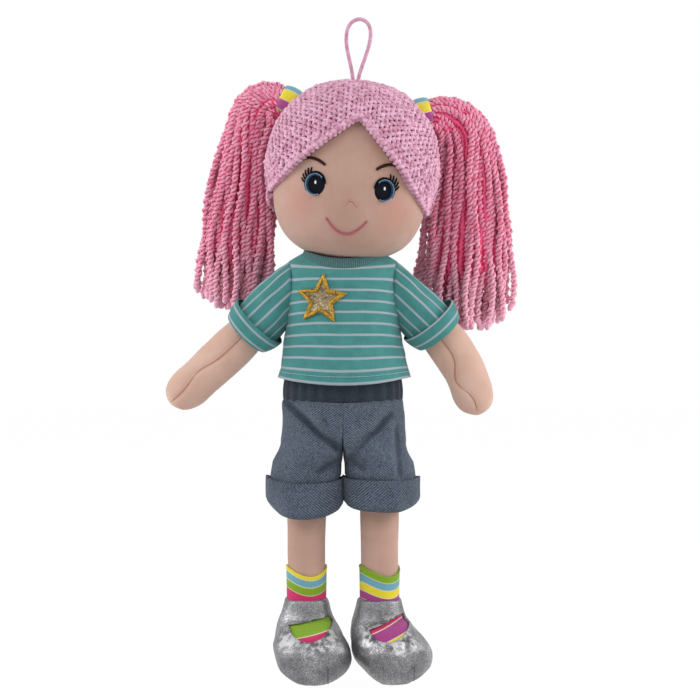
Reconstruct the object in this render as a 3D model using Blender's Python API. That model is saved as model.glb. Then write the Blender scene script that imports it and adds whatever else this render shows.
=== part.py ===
"""A rag doll that hangs by a cord loop, with yarn pigtails, T-shirt, denim shorts and cloth shoes.

The doll faces -Y and +X is its own left. Its soles are modelled at height zero, and the empty named
hang_point then lowers everything, so that the inside top of the loop is at the world's origin.
"""

import math
from collections import namedtuple

import bmesh
import bpy
from mathutils import Matrix, Vector

# Heights above the soles, from the hip joints up.
HIP_HEIGHT = 0.157
TRUNK_LENGTH = 0.122
NECK_RISE = 0.009
SHOULDER_DROP = 0.022
BODY_TOP = HIP_HEIGHT + TRUNK_LENGTH
NECK_HEIGHT = BODY_TOP + NECK_RISE
SHOULDER_HEIGHT = BODY_TOP - SHOULDER_DROP

# Cloth and the gap that touching pieces keep.
CLEARANCE = 0.0003
SKIN_THICKNESS = 0.0010
JERSEY_THICKNESS = 0.0009
DENIM_THICKNESS = 0.0012
ELASTIC_THICKNESS = 0.0006
SOCK_THICKNESS = 0.0008
EMBROIDERY_THICKNESS = 0.0005

# Head, measured in its own frame, whose origin is the neck joint. Rises and drops are from its middle.
HEAD_TILT = math.radians(5.0)
HEAD_LIFT = 0.048
HEAD_OFFSET = 0.0015
HEAD_HALF_WIDTH = 0.051
HEAD_HALF_DEPTH = 0.042
HEAD_HALF_HEIGHT = 0.056
HAIR_THICKNESS = 0.0065
PARTING_OFFSET = 0.0035
HAIRLINE_PEAK_RISE = 0.035
HAIRLINE_END_DROP = 0.013
HAIRLINE_BOW = 0.004
HAIRLINE_DEPTH = 0.006
NAPE_DROP = 0.036
HAIRLINE_PEAK_LIFT = HEAD_LIFT + HAIRLINE_PEAK_RISE
HAIRLINE_END_LIFT = HEAD_LIFT - HAIRLINE_END_DROP
NAPE_LIFT = HEAD_LIFT - NAPE_DROP
NOD_FORWARD = math.radians(20.0)
NOD_BACK = math.radians(10.0)

# Loop at the crown.
LOOP_DIAMETER = 0.0026
LOOP_HEIGHT = 0.0405
LOOP_WIDTH = 0.0160
LOOP_STRAND_GAP = 0.0036
LOOP_OFFSET = -0.0015
LOOP_BACK = 0.0040
LOOP_LEAN = 0.0027
LOOP_SINK = 0.0009

# Pigtails, in the head's frame.
TIE_REACH = 0.044
TIE_RISE = 0.046
TIE_LIFT = HEAD_LIFT + TIE_RISE
TIE_SLOPE = math.radians(20.0)
TIE_BACK = 0.008
PIGTAIL_LIMIT = math.radians(60.0)
TIE_LENGTH = 0.012
TIE_THICKNESS = 0.0012
PIGTAIL_NECK_RADIUS = 0.0085
PIGTAIL_BACK = 0.038
PIGTAIL_HALF_DEPTH = 0.0165
RIGHT_PIGTAIL_REACH = 0.0710
RIGHT_PIGTAIL_LENGTH = 0.124
RIGHT_PIGTAIL_HALF_WIDTH = 0.0280
LEFT_PIGTAIL_REACH = 0.0790
LEFT_PIGTAIL_LENGTH = 0.120
LEFT_PIGTAIL_HALF_WIDTH = 0.0325
LEFT_PIGTAIL_LEAN = math.radians(4.0)

# Body.
BODY_HALF_WIDTH = 0.0350
BODY_HALF_DEPTH = 0.0255
NECK_HALF_WIDTH = 0.0150
NECK_HALF_DEPTH = 0.0120
NECK_SINK = 0.011
NECK_PROUD = 0.011
NECK_FOOT = BODY_TOP - NECK_SINK
NECK_TOP = BODY_TOP + NECK_PROUD

# Arms. An angle is measured from straight down, outwards.
RIGHT_ARM_LENGTH = 0.110
LEFT_ARM_LENGTH = 0.1015
SHOULDER_REACH = 0.0385
ARM_TOP_RADIUS = 0.0064
SHOULDER_SEAT_RADIUS = 0.0078
ARM_BACK_LIMIT = math.radians(15.0)
ARMHOLE_RADIUS = 0.0125
ARMHOLE_INSET = 0.006
ARM_HALF_WIDTH = 0.0145
ARM_HALF_DEPTH = 0.0130

# Legs and feet. The droop is how far the toes hang below level, and rises and drops are from the ankle.
HIP_SPREAD = 0.024
HIP_SEAM_RADIUS = 0.0058
LEG_HALF_WIDTH = 0.0124
LEG_LENGTH = 0.1168
ANKLE_BEND_RADIUS = 0.0210
FOOT_LENGTH = 0.0220
FOOT_DROOP = math.radians(23.0)
SOCK_RISE = 0.034
SHOE_RISE = 0.012
SHOE_WALL = 0.0010
SHOE_PUFF_WIDTH = 0.0092
SHOE_PUFF_DEPTH = 0.0052
TOE_ROOM = 0.0060
SHOE_FLOOR = 0.0012
SOLE_THICKNESS = 0.0024
CUTOUT_WIDTH = 0.029
CUTOUT_HEIGHT = 0.011
CUTOUT_DROP = 0.0005

# T-shirt.
SHIRT_EASE = 0.0008
SHIRT_HEM_FLARE = 0.0066
SHIRT_LENGTH = 0.0740
SHIRT_HEM_DIP = 0.0050
SHIRT_TOP_DROP = 0.0015
SHIRT_TOP = BODY_TOP - SHIRT_TOP_DROP
SHIRT_HEM_HEIGHT = SHIRT_TOP - SHIRT_LENGTH
NECKBAND_SINK = 0.0090
NECKBAND_BASE = BODY_TOP - NECKBAND_SINK
NECKBAND_HEIGHT = 0.0190
NECKBAND_HALF_WIDTH = 0.0275
NECKBAND_HALF_DEPTH = 0.0200
SLEEVE_LENGTH = 0.0345
SLEEVE_SEAM_REACH = 0.0345
SLEEVE_SEAM_RISE = 0.0025
SLEEVE_SEAM_HEIGHT = SHOULDER_HEIGHT + SLEEVE_SEAM_RISE
SLEEVE_SEAM_HALF_HEIGHT = 0.0200
SLEEVE_SEAM_HALF_DEPTH = 0.0115
SLEEVE_HALF_WIDTH = 0.0158
SLEEVE_HALF_DEPTH = 0.0160
CUFF_LENGTH = 0.0135
CUFF_THICKNESS = 0.0014
CUFF_EASE = 0.0006
STAR_RADIUS = 0.0178
STAR_BORDER = 0.0030
STAR_LIFT = 0.0006
STAR_OFFSET = -0.0140
STAR_DROP = 0.0022
STAR_HEIGHT = SHOULDER_HEIGHT - STAR_DROP

# Shorts.
WAIST_RISE = 0.047
WAIST_TOP = HIP_HEIGHT + WAIST_RISE
WAISTBAND_HEIGHT = 0.020
ELASTIC_MARGIN = 0.003
SEAT_OPENING = 0.006
SHORTS_LEG_DROP = 0.0335
SHORTS_HEM_HEIGHT = HIP_HEIGHT - SHORTS_LEG_DROP
RIGHT_HEM_DIP = 0.0120
LEFT_HEM_DIP = 0.0072
SHORTS_HALF_WIDTH = 0.0405
SHORTS_HALF_DEPTH = 0.0265
SHORTS_LEG_HALF_WIDTH = 0.0224
SHORTS_LEG_HALF_DEPTH = 0.0215
SHORTS_SPREAD = 0.0252
TURNUP_THICKNESS = 0.0018
TURNUP_HEIGHT = 0.016
TURNUP_EASE = 0.0006
FOLD_DEPTH = 0.0009
FOLDS = 5

# Face, in the head's frame: places across and up, and sizes.
EYE_SPREAD = 0.0219
EYE_DROP = 0.0108
EYE_LIFT = HEAD_LIFT - EYE_DROP
EYE_HALF_WIDTH = 0.0061
EYE_HALF_HEIGHT = 0.0076
GLINT_RADIUS = 0.0013
LASH_LENGTH = 0.0048
LASH_WIDTH = 0.0008
LASHES = 5
BROW_RISE = 0.0028
BROW_LIFT = HEAD_LIFT + BROW_RISE
BROW_ARCH = 0.0031
BROW_SPREAD = 0.0250
BROW_HALF_LENGTH = 0.0085
BROW_WIDTH = 0.0014
NOSE_DROP = 0.0229
NOSE_LIFT = HEAD_LIFT - NOSE_DROP
NOSE_ARCH = 0.0036
NOSE_HALF_LENGTH = 0.0042
NOSE_WIDTH = 0.0012
NOSE_OFFSET = 0.0025
MOUTH_DROP = 0.0315
MOUTH_LIFT = HEAD_LIFT - MOUTH_DROP
MOUTH_ARCH = 0.0088
MOUTH_HALF_LENGTH = 0.0129
MOUTH_WIDTH = 0.0016
MOUTH_OFFSET = 0.0010

# Overrun of a cutter past what it cuts.
OVERRUN = 0.030

# Counts of faces round and along the pieces.
HEAD_SIDES = 24
BODY_SIDES = 24
LIMB_SIDES = 16
CLOTH_SIDES = 24
FILLING_SIDES = 12
LIMB_FILLING_SIDES = 8
LOOP_SIDES = 8
LOOP_STATIONS = 24
EMBROIDERY_STATIONS = 8

# Heights from the top, 1, to the bottom, -1, with the width and the depth there.
HEAD_SHARES = (
    (1.0, 0.0, 0.0),
    (0.93, 0.41, 0.41),
    (0.80, 0.64, 0.64),
    (0.60, 0.85, 0.84),
    (0.36, 0.96, 0.95),
    (0.10, 1.0, 1.0),
    (-0.16, 1.0, 1.0),
    (-0.42, 0.965, 0.97),
    (-0.62, 0.885, 0.89),
    (-0.78, 0.755, 0.76),
    (-0.90, 0.56, 0.56),
    (-0.97, 0.32, 0.34),
    (-1.0, 0.0, 0.0),
)
BODY_SHARES = (
    (1.0, 0.0, 0.0),
    (0.985, 0.72, 0.50),
    (0.94, 0.90, 0.66),
    (0.84, 0.96, 0.80),
    (0.60, 1.0, 0.92),
    (0.20, 0.99, 0.98),
    (-0.15, 1.0, 1.0),
    (-0.45, 1.03, 0.98),
    (-0.68, 1.0, 0.84),
    (-0.85, 0.93, 0.60),
    (-0.96, 0.82, 0.32),
    (-0.995, 0.78, 0.27),
    (-1.0, 0.0, 0.0),
)
# Along an arm from the shoulder to the fingertips: place, width across and depth.
ARM_SHARES = (
    (0.0, 0.0, 0.0),
    (0.02, 0.30, 0.30),
    (0.065, 0.46, 0.48),
    (0.16, 0.66, 0.72),
    (0.30, 0.84, 0.90),
    (0.48, 0.97, 1.0),
    (0.64, 0.96, 0.98),
    (0.76, 0.93, 0.92),
    (0.86, 0.93, 0.88),
    (0.93, 0.78, 0.74),
    (0.975, 0.50, 0.50),
    (1.0, 0.0, 0.0),
)
# Along a leg from the hip seam to the toes.
LEG_SHARES = (
    (0.0, 0.80, 0.125),
    (0.012, 0.88, 0.33),
    (0.05, 1.02, 0.48),
    (0.14, 1.06, 0.78),
    (0.26, 1.04, 0.98),
    (0.42, 1.0, 1.0),
    (0.58, 0.97, 0.98),
    (0.68, 0.95, 0.96),
    (0.76, 1.0, 1.0),
    (0.85, 1.08, 0.98),
    (0.93, 1.02, 0.86),
    (0.975, 0.72, 0.58),
    (1.0, 0.0, 0.0),
)
# How far the shoe puffs out past its wall, from its top edge to the toe.
SHOE_SHARES = (
    (0.0, 0.0),
    (0.15, 0.38),
    (0.35, 0.85),
    (0.55, 1.0),
    (0.80, 1.0),
    (0.92, 0.70),
    (1.0, 0.15),
)

Form = namedtuple("Form", "centre half_height half_width half_depth shares")
Arm = namedtuple("Arm", "name side upper_angle lower_angle length")
Leg = namedtuple("Leg", "name side foot_yaw cutout_roll hem_dip")
Pigtail = namedtuple("Pigtail", "name side reach lean length half_width")

ARMS = (
    Arm("right", -1, math.radians(44.5), math.radians(51.0), RIGHT_ARM_LENGTH),
    Arm("left", 1, math.radians(48.5), math.radians(2.0), LEFT_ARM_LENGTH),
)
LEGS = (
    Leg("right", -1, math.radians(14.0), math.radians(10.0), RIGHT_HEM_DIP),
    Leg("left", 1, math.radians(30.0), math.radians(20.0), LEFT_HEM_DIP),
)
PIGTAILS = (
    Pigtail("right", -1, RIGHT_PIGTAIL_REACH, 0.0, RIGHT_PIGTAIL_LENGTH, RIGHT_PIGTAIL_HALF_WIDTH),
    Pigtail("left", 1, LEFT_PIGTAIL_REACH, LEFT_PIGTAIL_LEAN, LEFT_PIGTAIL_LENGTH, LEFT_PIGTAIL_HALF_WIDTH),
)

# A pigtail's fullness past its tie: place along it and share of its full size.
PIGTAIL_SHARES = (
    (0.0, 0.0),
    (0.08, 0.10),
    (0.16, 0.22),
    (0.25, 0.40),
    (0.39, 0.66),
    (0.60, 0.90),
    (0.80, 1.0),
    (0.90, 0.85),
    (0.97, 0.50),
)
# How the shorts turn from the seat's outline into a leg's, from the waistband to the hem.
SHORTS_SHARES = (
    (0.0, 0.0),
    (0.20, 0.12),
    (0.38, 0.42),
    (0.55, 0.78),
    (0.75, 0.95),
    (1.0, 1.0),
)

BALL_ROWS = 8
BALL_SHARES = tuple(
    (math.cos(math.pi * row / BALL_ROWS), *[math.sin(math.pi * row / BALL_ROWS)] * 2)
    for row in range(1, BALL_ROWS)
)
BALL_SHARES = ((1.0, 0.0, 0.0), *BALL_SHARES, (-1.0, 0.0, 0.0))
NECK_SHARES = (
    (1.0, 0.0, 0.0),
    (0.999, 0.92, 0.92),
    (0.80, 1.0, 1.0),
    (-0.80, 1.0, 1.0),
    (-0.999, 0.92, 0.92),
    (-1.0, 0.0, 0.0),
)

SIDES = (("right", -1), ("left", 1))
PATH_STEPS = 48
LOOP_APART = 8
PIGTAIL_CUTS = 4
NOD_CUTS = 3
SLEEVE_STATIONS = 5
SHORTS_STATIONS = 7
CUTOUT_STEPS = 10
TURNUP_STATIONS = 3
EYE_SIDES = 16
GLINT_SIDES = 8
LASH_FIRST = math.radians(25.0)
LASH_LAST = math.radians(85.0)
LASH_ROOT_SHARE = 1.12
TIP_SHARE = 0.55
CRESCENT_MIDDLE = math.radians(60.0)
CRESCENT_REACH = math.radians(95.0)
STAR_TURN = math.radians(-5.0)
SHORTS_WIDEST_SHARE = 0.35
TUCK_SHARE = 0.16
CROTCH_SHARE = 0.42
SEAT_ARC_SHARE = 0.75
LEG_ARC_SHARE = 0.72
TEARDROP_SHARE = 0.65
DOME_SHARE = 0.70
STAR_INNER_SHARE = 0.46
STAR_POINTS = 5
HALF_SHARE = 0.5
HEAD_MOUTH_SHARE = -0.97
BODY_MOUTH_SHARE = 0.985
ARM_MOUTH_SHARE = 0.02
ARM_BEND_SHARE = 1.6
SHARP_ANGLE = math.radians(40.0)
CRESCENT_SHARES = (0.86, 0.56)

DOWN = Vector((0, 0, -1))
ACROSS = Vector((1, 0, 0))
BACKWARD = Vector((0, 1, 0))
ORIGIN = Vector((0, 0, 0))

HIP_SEAM_HALF_DEPTH = LEG_SHARES[0][2] * LEG_HALF_WIDTH
BODY_FLOOR = HIP_HEIGHT + math.hypot(HIP_SEAM_RADIUS, HIP_SEAM_HALF_DEPTH) + CLEARANCE
BODY = Form(
    Vector((0, 0, (BODY_TOP + BODY_FLOOR) / 2)),
    (BODY_TOP - BODY_FLOOR) / 2,
    BODY_HALF_WIDTH,
    BODY_HALF_DEPTH,
    BODY_SHARES,
)
HEAD = Form(
    Vector((HEAD_OFFSET, 0, HEAD_LIFT)), HEAD_HALF_HEIGHT, HEAD_HALF_WIDTH, HEAD_HALF_DEPTH, HEAD_SHARES
)
LEG_TOTAL_LENGTH = (
    LEG_LENGTH + ANKLE_BEND_RADIUS * (math.pi / 2 - FOOT_DROOP) + FOOT_LENGTH
)
HAIR_OUTER = CLEARANCE + HAIR_THICKNESS
SHORTS_TOP = WAIST_TOP - WAISTBAND_HEIGHT - CLEARANCE
TURNUP_START = 1 - TURNUP_HEIGHT / (SHORTS_TOP - SHORTS_HEM_HEIGHT)
WAIST_INNER = CLEARANCE + ELASTIC_THICKNESS + CLEARANCE
WAIST_HALF_WIDTH = BODY_HALF_WIDTH + WAIST_INNER + DENIM_THICKNESS
WAIST_HALF_DEPTH = BODY_HALF_DEPTH + WAIST_INNER + DENIM_THICKNESS


# Materials: colour, roughness and metallic value.
FINISHES = {
    "peach_jersey": ((0.92, 0.70, 0.58), 0.85, 0.0),
    "fibre": ((0.93, 0.92, 0.90), 0.95, 0.0),
    "pink_yarn": ((0.86, 0.42, 0.60), 0.9, 0.0),
    "pink_cord": ((0.90, 0.50, 0.66), 0.7, 0.0),
    "ribbon": ((0.90, 0.83, 0.22), 0.6, 0.0),
    "teal_jersey": ((0.10, 0.47, 0.45), 0.85, 0.0),
    "pale_rib": ((0.42, 0.60, 0.60), 0.85, 0.0),
    "gold_thread": ((0.80, 0.56, 0.05), 0.45, 0.3),
    "gold_glitter": ((0.62, 0.50, 0.30), 0.4, 0.7),
    "denim": ((0.17, 0.24, 0.31), 0.9, 0.0),
    "pale_denim": ((0.24, 0.32, 0.39), 0.9, 0.0),
    "elastic": ((0.85, 0.85, 0.83), 0.8, 0.0),
    "black_thread": ((0.02, 0.02, 0.03), 0.5, 0.0),
    "blue_thread": ((0.25, 0.50, 0.75), 0.5, 0.0),
    "white_thread": ((0.95, 0.95, 0.95), 0.5, 0.0),
    "brown_thread": ((0.12, 0.06, 0.04), 0.5, 0.0),
    "pink_thread": ((0.75, 0.25, 0.33), 0.5, 0.0),
    "striped_knit": ((0.45, 0.72, 0.30), 0.85, 0.0),
    "silver_cloth": ((0.62, 0.63, 0.65), 0.35, 0.8),
    "sole_cloth": ((0.50, 0.51, 0.53), 0.6, 0.4),
}


def clear_scene():
    """Remove every object that the scene starts with."""
    for old in list(bpy.data.objects):
        bpy.data.objects.remove(old, do_unlink=True)


def material(name):
    """The material of this name, made the first time it is asked for."""
    found = bpy.data.materials.get(name)
    if found:
        return found
    colour, roughness, metallic = FINISHES[name]
    made = bpy.data.materials.new(name)
    made.use_nodes = True
    shader = made.node_tree.nodes["Principled BSDF"]
    shader.inputs["Base Color"].default_value = (*colour, 1.0)
    shader.inputs["Roughness"].default_value = roughness
    shader.inputs["Metallic"].default_value = metallic
    made.diffuse_color = (*colour, 1.0)
    return made


def empty(name, location, parent=None, turn=(0, 0, 0)):
    """A joint or a reference point that pieces are parented to."""
    made = bpy.data.objects.new(name, None)
    bpy.context.scene.collection.objects.link(made)
    made.location = location
    made.rotation_euler = turn
    made.parent = parent
    return made


def faced(mesh):
    """Turn a closed mesh's faces outwards."""
    work = bmesh.new()
    work.from_mesh(mesh)
    bmesh.ops.recalc_face_normals(work, faces=work.faces)
    if work.calc_volume(signed=True) < 0:
        bmesh.ops.reverse_faces(work, faces=work.faces)
    work.to_mesh(mesh)
    work.free()


def made_object(name, points, faces, finish, joint, base):
    """An object whose points are given in its joint's frame, less the joint's own place, base."""
    mesh = bpy.data.meshes.new(name)
    mesh.from_pydata([point - base for point in points], [], faces)
    mesh.validate()
    faced(mesh)
    mesh.shade_smooth()
    mesh.set_sharp_from_angle(angle=SHARP_ANGLE)
    mesh.materials.append(material(finish))
    made = bpy.data.objects.new(name, mesh)
    bpy.context.scene.collection.objects.link(made)
    made.parent = joint
    return made


def as_cutter(piece):
    """Keep a piece out of the model, as a tool for cutting."""
    piece.hide_render = True
    piece.display_type = "WIRE"
    return piece


def cut(piece, cutter, operation="DIFFERENCE"):
    """Take a cutter's space out of a piece."""
    modifier = piece.modifiers.new(cutter.name, "BOOLEAN")
    modifier.operation = operation
    modifier.solver = "EXACT"
    modifier.object = cutter


def loft(rings):
    """Points and faces of a closed body through rings; a ring of one point is a pole."""
    points = []
    starts = []
    for ring in rings:
        starts.append(len(points))
        points.extend(ring)
    faces = []
    for number in range(len(rings) - 1):
        here, there = rings[number], rings[number + 1]
        first, second = starts[number], starts[number + 1]
        sides = max(len(here), len(there))
        for side in range(sides):
            after = (side + 1) % sides
            if len(here) == 1:
                faces.append((first, second + side, second + after))
            elif len(there) == 1:
                faces.append((first + side, second, first + after))
            else:
                faces.append((first + side, second + side, second + after, first + after))
    return points, faces


def prism(front, back):
    """Points and faces of a closed body between two like outlines."""
    points, faces = loft((front, back))
    count = len(front)
    faces.append(tuple(range(count)))
    faces.append(tuple(range(count, 2 * count)))
    return points, faces


def sleeve_of(outer, inner):
    """Points and faces of a wall between outer and inner rings, open at both ends."""
    rings = list(outer) + list(reversed(inner))
    points, faces = loft(rings)
    last = len(points) - len(rings[-1])
    sides = len(rings[0])
    for side in range(sides):
        after = (side + 1) % sides
        faces.append((last + side, side, after, last + after))
    return points, faces


def plate_of(outer, inner):
    """Points and faces of a wall between outer and inner rows that don't close round."""
    rings = [tuple(far) + tuple(reversed(near)) for far, near in zip(outer, inner)]
    points, faces = loft(rings)
    count = len(rings[0])
    for start, row in ((0, rings[0]), (len(points) - count, rings[-1])):
        for side in range(count // 2 - 1):
            faces.append(
                (start + side, start + side + 1, start + count - 2 - side, start + count - 1 - side)
            )
    return points, faces


def oval(centre, across, depthwise, half_wide, half_deep, sides):
    """A ring of points on an ellipse."""
    points = []
    for step in range(sides):
        angle = math.tau * step / sides
        reach = across * (half_wide * math.cos(angle))
        points.append(centre + reach + depthwise * (half_deep * math.sin(angle)))
    return points


def read_table(table, share):
    """A table's values at a share, straight between its rows."""
    rows = sorted(table)
    share = min(max(share, rows[0][0]), rows[-1][0])
    for low, high in zip(rows, rows[1:]):
        if share <= high[0]:
            part = (share - low[0]) / (high[0] - low[0])
            return [a + (b - a) * part for a, b in zip(low[1:], high[1:])]
    return list(rows[-1][1:])


def form_sizes(form, height, grow=0.0):
    """A form's half width and half depth at a height, with so much added all round."""
    share = (height - form.centre.z) / (form.half_height + grow)
    wide_share, deep_share = read_table(form.shares, share)
    return wide_share * form.half_width + grow, deep_share * form.half_depth + grow


def form_rings(form, grow, sides, top_share=1.0, bottom_share=-1.0):
    """Rings down a form, from its top pole or a mouth to its bottom pole or a mouth."""
    rings = []
    for share, wide_share, deep_share in form.shares:
        if bottom_share <= share <= top_share:
            centre = form.centre + Vector((0, 0, share * (form.half_height + grow)))
            if wide_share == 0:
                rings.append([centre])
            else:
                wide = wide_share * form.half_width + grow
                deep = deep_share * form.half_depth + grow
                rings.append(oval(centre, ACROSS, BACKWARD, wide, deep, sides))
    return rings


def heights_between(form, low, high):
    """The heights of a form's rows between two heights, with those two, from the top down."""
    rows = [form.centre.z + share * form.half_height for share, _, _ in form.shares]
    inside = [height for height in rows if low + CLEARANCE < height < high - CLEARANCE]
    return [high] + sorted(inside, reverse=True) + [low]


def curved_path(start, heading_at, length):
    """A function that gives the point and the heading at a distance along a path."""
    step_length = length / PATH_STEPS
    points = [start]
    for step in range(PATH_STEPS):
        points.append(points[-1] + heading_at((step + HALF_SHARE) / PATH_STEPS) * step_length)

    def place(distance):
        share = min(max(distance / length, 0.0), 1.0)
        index = min(int(share * PATH_STEPS), PATH_STEPS - 1)
        along = distance - index * step_length
        heading = heading_at((index + HALF_SHARE) / PATH_STEPS)
        return points[index] + heading * along, heading_at(share)

    return place


def path_ring(path, distance, normal, half_wide, half_deep, sides):
    """A ring square to a path, whose depth lies along the normal."""
    point, heading = path(distance)
    across = normal.cross(heading).normalized()
    return oval(point, across, normal, half_wide, half_deep, sides)


def limb_rings(path, length, normal_at, shares, size, grow, sides, from_share=0.0):
    """Rings along a limb from a share of its length to its closed end; size is its half width and depth."""
    rows = [row for row in shares if row[0] > from_share]
    if from_share > 0:
        rows.insert(0, (from_share, *read_table(shares, from_share)))
    else:
        rows.insert(0, shares[0])
    rings = []
    for share, wide_share, deep_share in rows:
        distance = share * (length + 2 * grow) - grow
        if wide_share == 0:
            rings.append([path(distance)[0]])
        else:
            wide = wide_share * size[0] + grow
            deep = deep_share * size[1] + grow
            rings.append(path_ring(path, distance, normal_at(distance), wide, deep, sides))
    return rings


def block(name, centre, axes, low, high, joint, base):
    """A box cutter from low to high along three axes, measured from a centre."""
    corners = []
    for third in (low[2], high[2]):
        for first, second in ((low[0], low[1]), (high[0], low[1]), (high[0], high[1]), (low[0], high[1])):
            corners.append(centre + axes[0] * first + axes[1] * second + axes[2] * third)
    return as_cutter(made_object(name, *prism(corners[:4], corners[4:]), "fibre", joint, base))


def ball(name, centre, radius, joint, base):
    """A round cutter."""
    form = Form(centre, radius, radius, radius, BALL_SHARES)
    rings = form_rings(form, 0.0, LIMB_SIDES)
    return as_cutter(made_object(name, *loft(rings), "fibre", joint, base))


def tube_rings(points, normal, radius, sides):
    """Rings along a cord that lies square to the normal, with a rounded end at both ends."""
    rings = []
    last = len(points) - 1
    for number, point in enumerate(points):
        heading = (points[min(number + 1, last)] - points[max(number - 1, 0)]).normalized()
        across = normal.cross(heading)
        ring = oval(point, across, normal, radius, radius, sides)
        if number == 0:
            inset = point - heading * (radius * DOME_SHARE)
            dome = oval(inset, across, normal, radius * DOME_SHARE, radius * DOME_SHARE, sides)
            rings.extend(([point - heading * radius], dome))
        rings.append(ring)
        if number == last:
            inset = point + heading * (radius * DOME_SHARE)
            dome = oval(inset, across, normal, radius * DOME_SHARE, radius * DOME_SHARE, sides)
            rings.extend((dome, [point + heading * radius]))
    return rings


def loop_points(base):
    """The loop's centre line: up one strand, round the top and down the other."""
    reach = (LOOP_WIDTH / 2 - LOOP_STRAND_GAP / 4) / TEARDROP_SHARE
    points = []
    for station in range(LOOP_STATIONS + 1):
        half_turn = math.pi * station / LOOP_STATIONS
        rise = math.sin(half_turn) ** 2
        side = -reach * math.sin(2 * half_turn) * rise
        side -= LOOP_STRAND_GAP / 2 * math.cos(half_turn)
        points.append(base + Vector((side + LOOP_LEAN * rise, 0, LOOP_HEIGHT * rise)))
    return points


def build_loop(places, joints):
    """The cord loop that the doll hangs by."""
    points = loop_points(places["loop_fold"])
    gap = min((points[first] - points[second]).length
              for first in range(len(points)) for second in range(first + LOOP_APART, len(points)))
    print("hang loop: least gap to itself", round(gap - LOOP_DIAMETER, 5), "m")
    rings = tube_rings(points, BACKWARD, LOOP_DIAMETER / 2, LOOP_SIDES)
    made_object("hang_loop", *loft(rings), "pink_cord", joints["hang_point"], ORIGIN)


def head_block(name, grow, joint, base=ORIGIN):
    """The head's form as a cutter."""
    return as_cutter(made_object(name, *loft(form_rings(HEAD, grow, HEAD_SIDES)), "fibre", joint, base))


def build_head(joints):
    """The stuffed head: its jersey casing, open at the neck, and the fibre in it."""
    outer = form_rings(HEAD, 0.0, HEAD_SIDES, bottom_share=HEAD_MOUTH_SHARE)
    inner = form_rings(HEAD, -SKIN_THICKNESS, HEAD_SIDES, bottom_share=HEAD_MOUTH_SHARE)
    made_object("head_skin", *loft(outer + inner[::-1]), "peach_jersey", joints["head"], ORIGIN)
    filling = form_rings(HEAD, -SKIN_THICKNESS - CLEARANCE, FILLING_SIDES)
    made_object("head_stuffing", *loft(filling), "fibre", joints["head"], ORIGIN)


def face_opening(joint):
    """The cutter of the hair cap's opening: an inverted V over the face."""
    far = HEAD_HALF_WIDTH + HAIR_OUTER + OVERRUN
    slope = (HAIRLINE_PEAK_LIFT - HAIRLINE_END_LIFT) / HEAD_HALF_WIDTH
    middle = HEAD_HALF_WIDTH / 2
    outline = [(PARTING_OFFSET, HAIRLINE_PEAK_LIFT)]
    for side in (1, -1):
        half = [
            (PARTING_OFFSET + side * middle, HAIRLINE_PEAK_LIFT - slope * middle + HAIRLINE_BOW),
            (side * HEAD_HALF_WIDTH, HAIRLINE_END_LIFT),
            (side * far, HAIRLINE_END_LIFT - slope * (far - HEAD_HALF_WIDTH)),
            (side * far, -far),
        ]
        outline += half if side == 1 else half[::-1]
    front = [Vector((across, -far, up)) for across, up in outline]
    back = [Vector((across, -HAIRLINE_DEPTH, up)) for across, up in outline]
    return as_cutter(made_object("face_opening", *prism(front, back), "fibre", joint, ORIGIN))


def build_hair_cap(joints):
    """The knitted hair cap: two halves that meet at the parting seam."""
    head = joints["head"]
    far = HEAD_HALF_WIDTH + HAIR_OUTER + OVERRUN
    tall = HEAD_LIFT + HEAD_HALF_HEIGHT + HAIR_OUTER + OVERRUN
    inside = head_block("cap_inside", CLEARANCE, head)
    opening = face_opening(head)
    axes = (ACROSS, BACKWARD, -DOWN)
    rim = (
        (-far, HAIRLINE_END_LIFT),
        (-HAIRLINE_DEPTH, HAIRLINE_END_LIFT),
        (HEAD_HALF_DEPTH, NAPE_LIFT),
        (far, NAPE_LIFT),
        (far, -tall),
        (-far, -tall),
    )
    ends = [[Vector((across, back, up)) for back, up in rim] for across in (-far, far)]
    nape = as_cutter(made_object("nape", *prism(*ends), "fibre", head, ORIGIN))
    for name, side in SIDES:
        cap = made_object(
            "hair_cap_" + name,
            *loft(form_rings(HEAD, HAIR_OUTER, HEAD_SIDES)),
            "pink_yarn",
            head,
            ORIGIN,
        )
        seam = Vector((PARTING_OFFSET + side * CLEARANCE / 2, 0, 0))
        low = (min(0, -side * far * 2), -far, -tall)
        high = (max(0, -side * far * 2), far, tall * 2)
        other = block("beyond_parting_" + name, seam, axes, low, high, head, ORIGIN)
        for cutter in (inside, opening, nape, other):
            cut(cap, cutter)


def pigtail_path(pigtail):
    """The path of a pigtail's middle, from inside its tie, over and down, and its length."""
    bend = math.pi / 2 + TIE_SLOPE - pigtail.lean
    start = TIE_REACH + TIE_LENGTH / 2 * math.cos(TIE_SLOPE)
    radius = (pigtail.reach - start) / (1 + math.sin(TIE_SLOPE))
    arc = radius * bend
    total = TIE_LENGTH + arc + pigtail.length
    drift = (PIGTAIL_BACK - TIE_BACK) / (arc + pigtail.length)

    def heading_at(share):
        distance = share * total - TIE_LENGTH
        angle = min(max(distance / radius, 0.0), bend) - TIE_SLOPE
        outward = ACROSS * (pigtail.side * math.cos(angle)) + DOWN * math.sin(angle)
        return outward + BACKWARD * (drift if distance > 0 else 0.0)

    outward = ACROSS * (pigtail.side * math.cos(TIE_SLOPE)) - DOWN * math.sin(TIE_SLOPE)
    tie = Vector((pigtail.side * TIE_REACH, TIE_BACK, TIE_LIFT))
    return curved_path(tie - outward * (TIE_LENGTH / 2), heading_at, total), total


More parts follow.
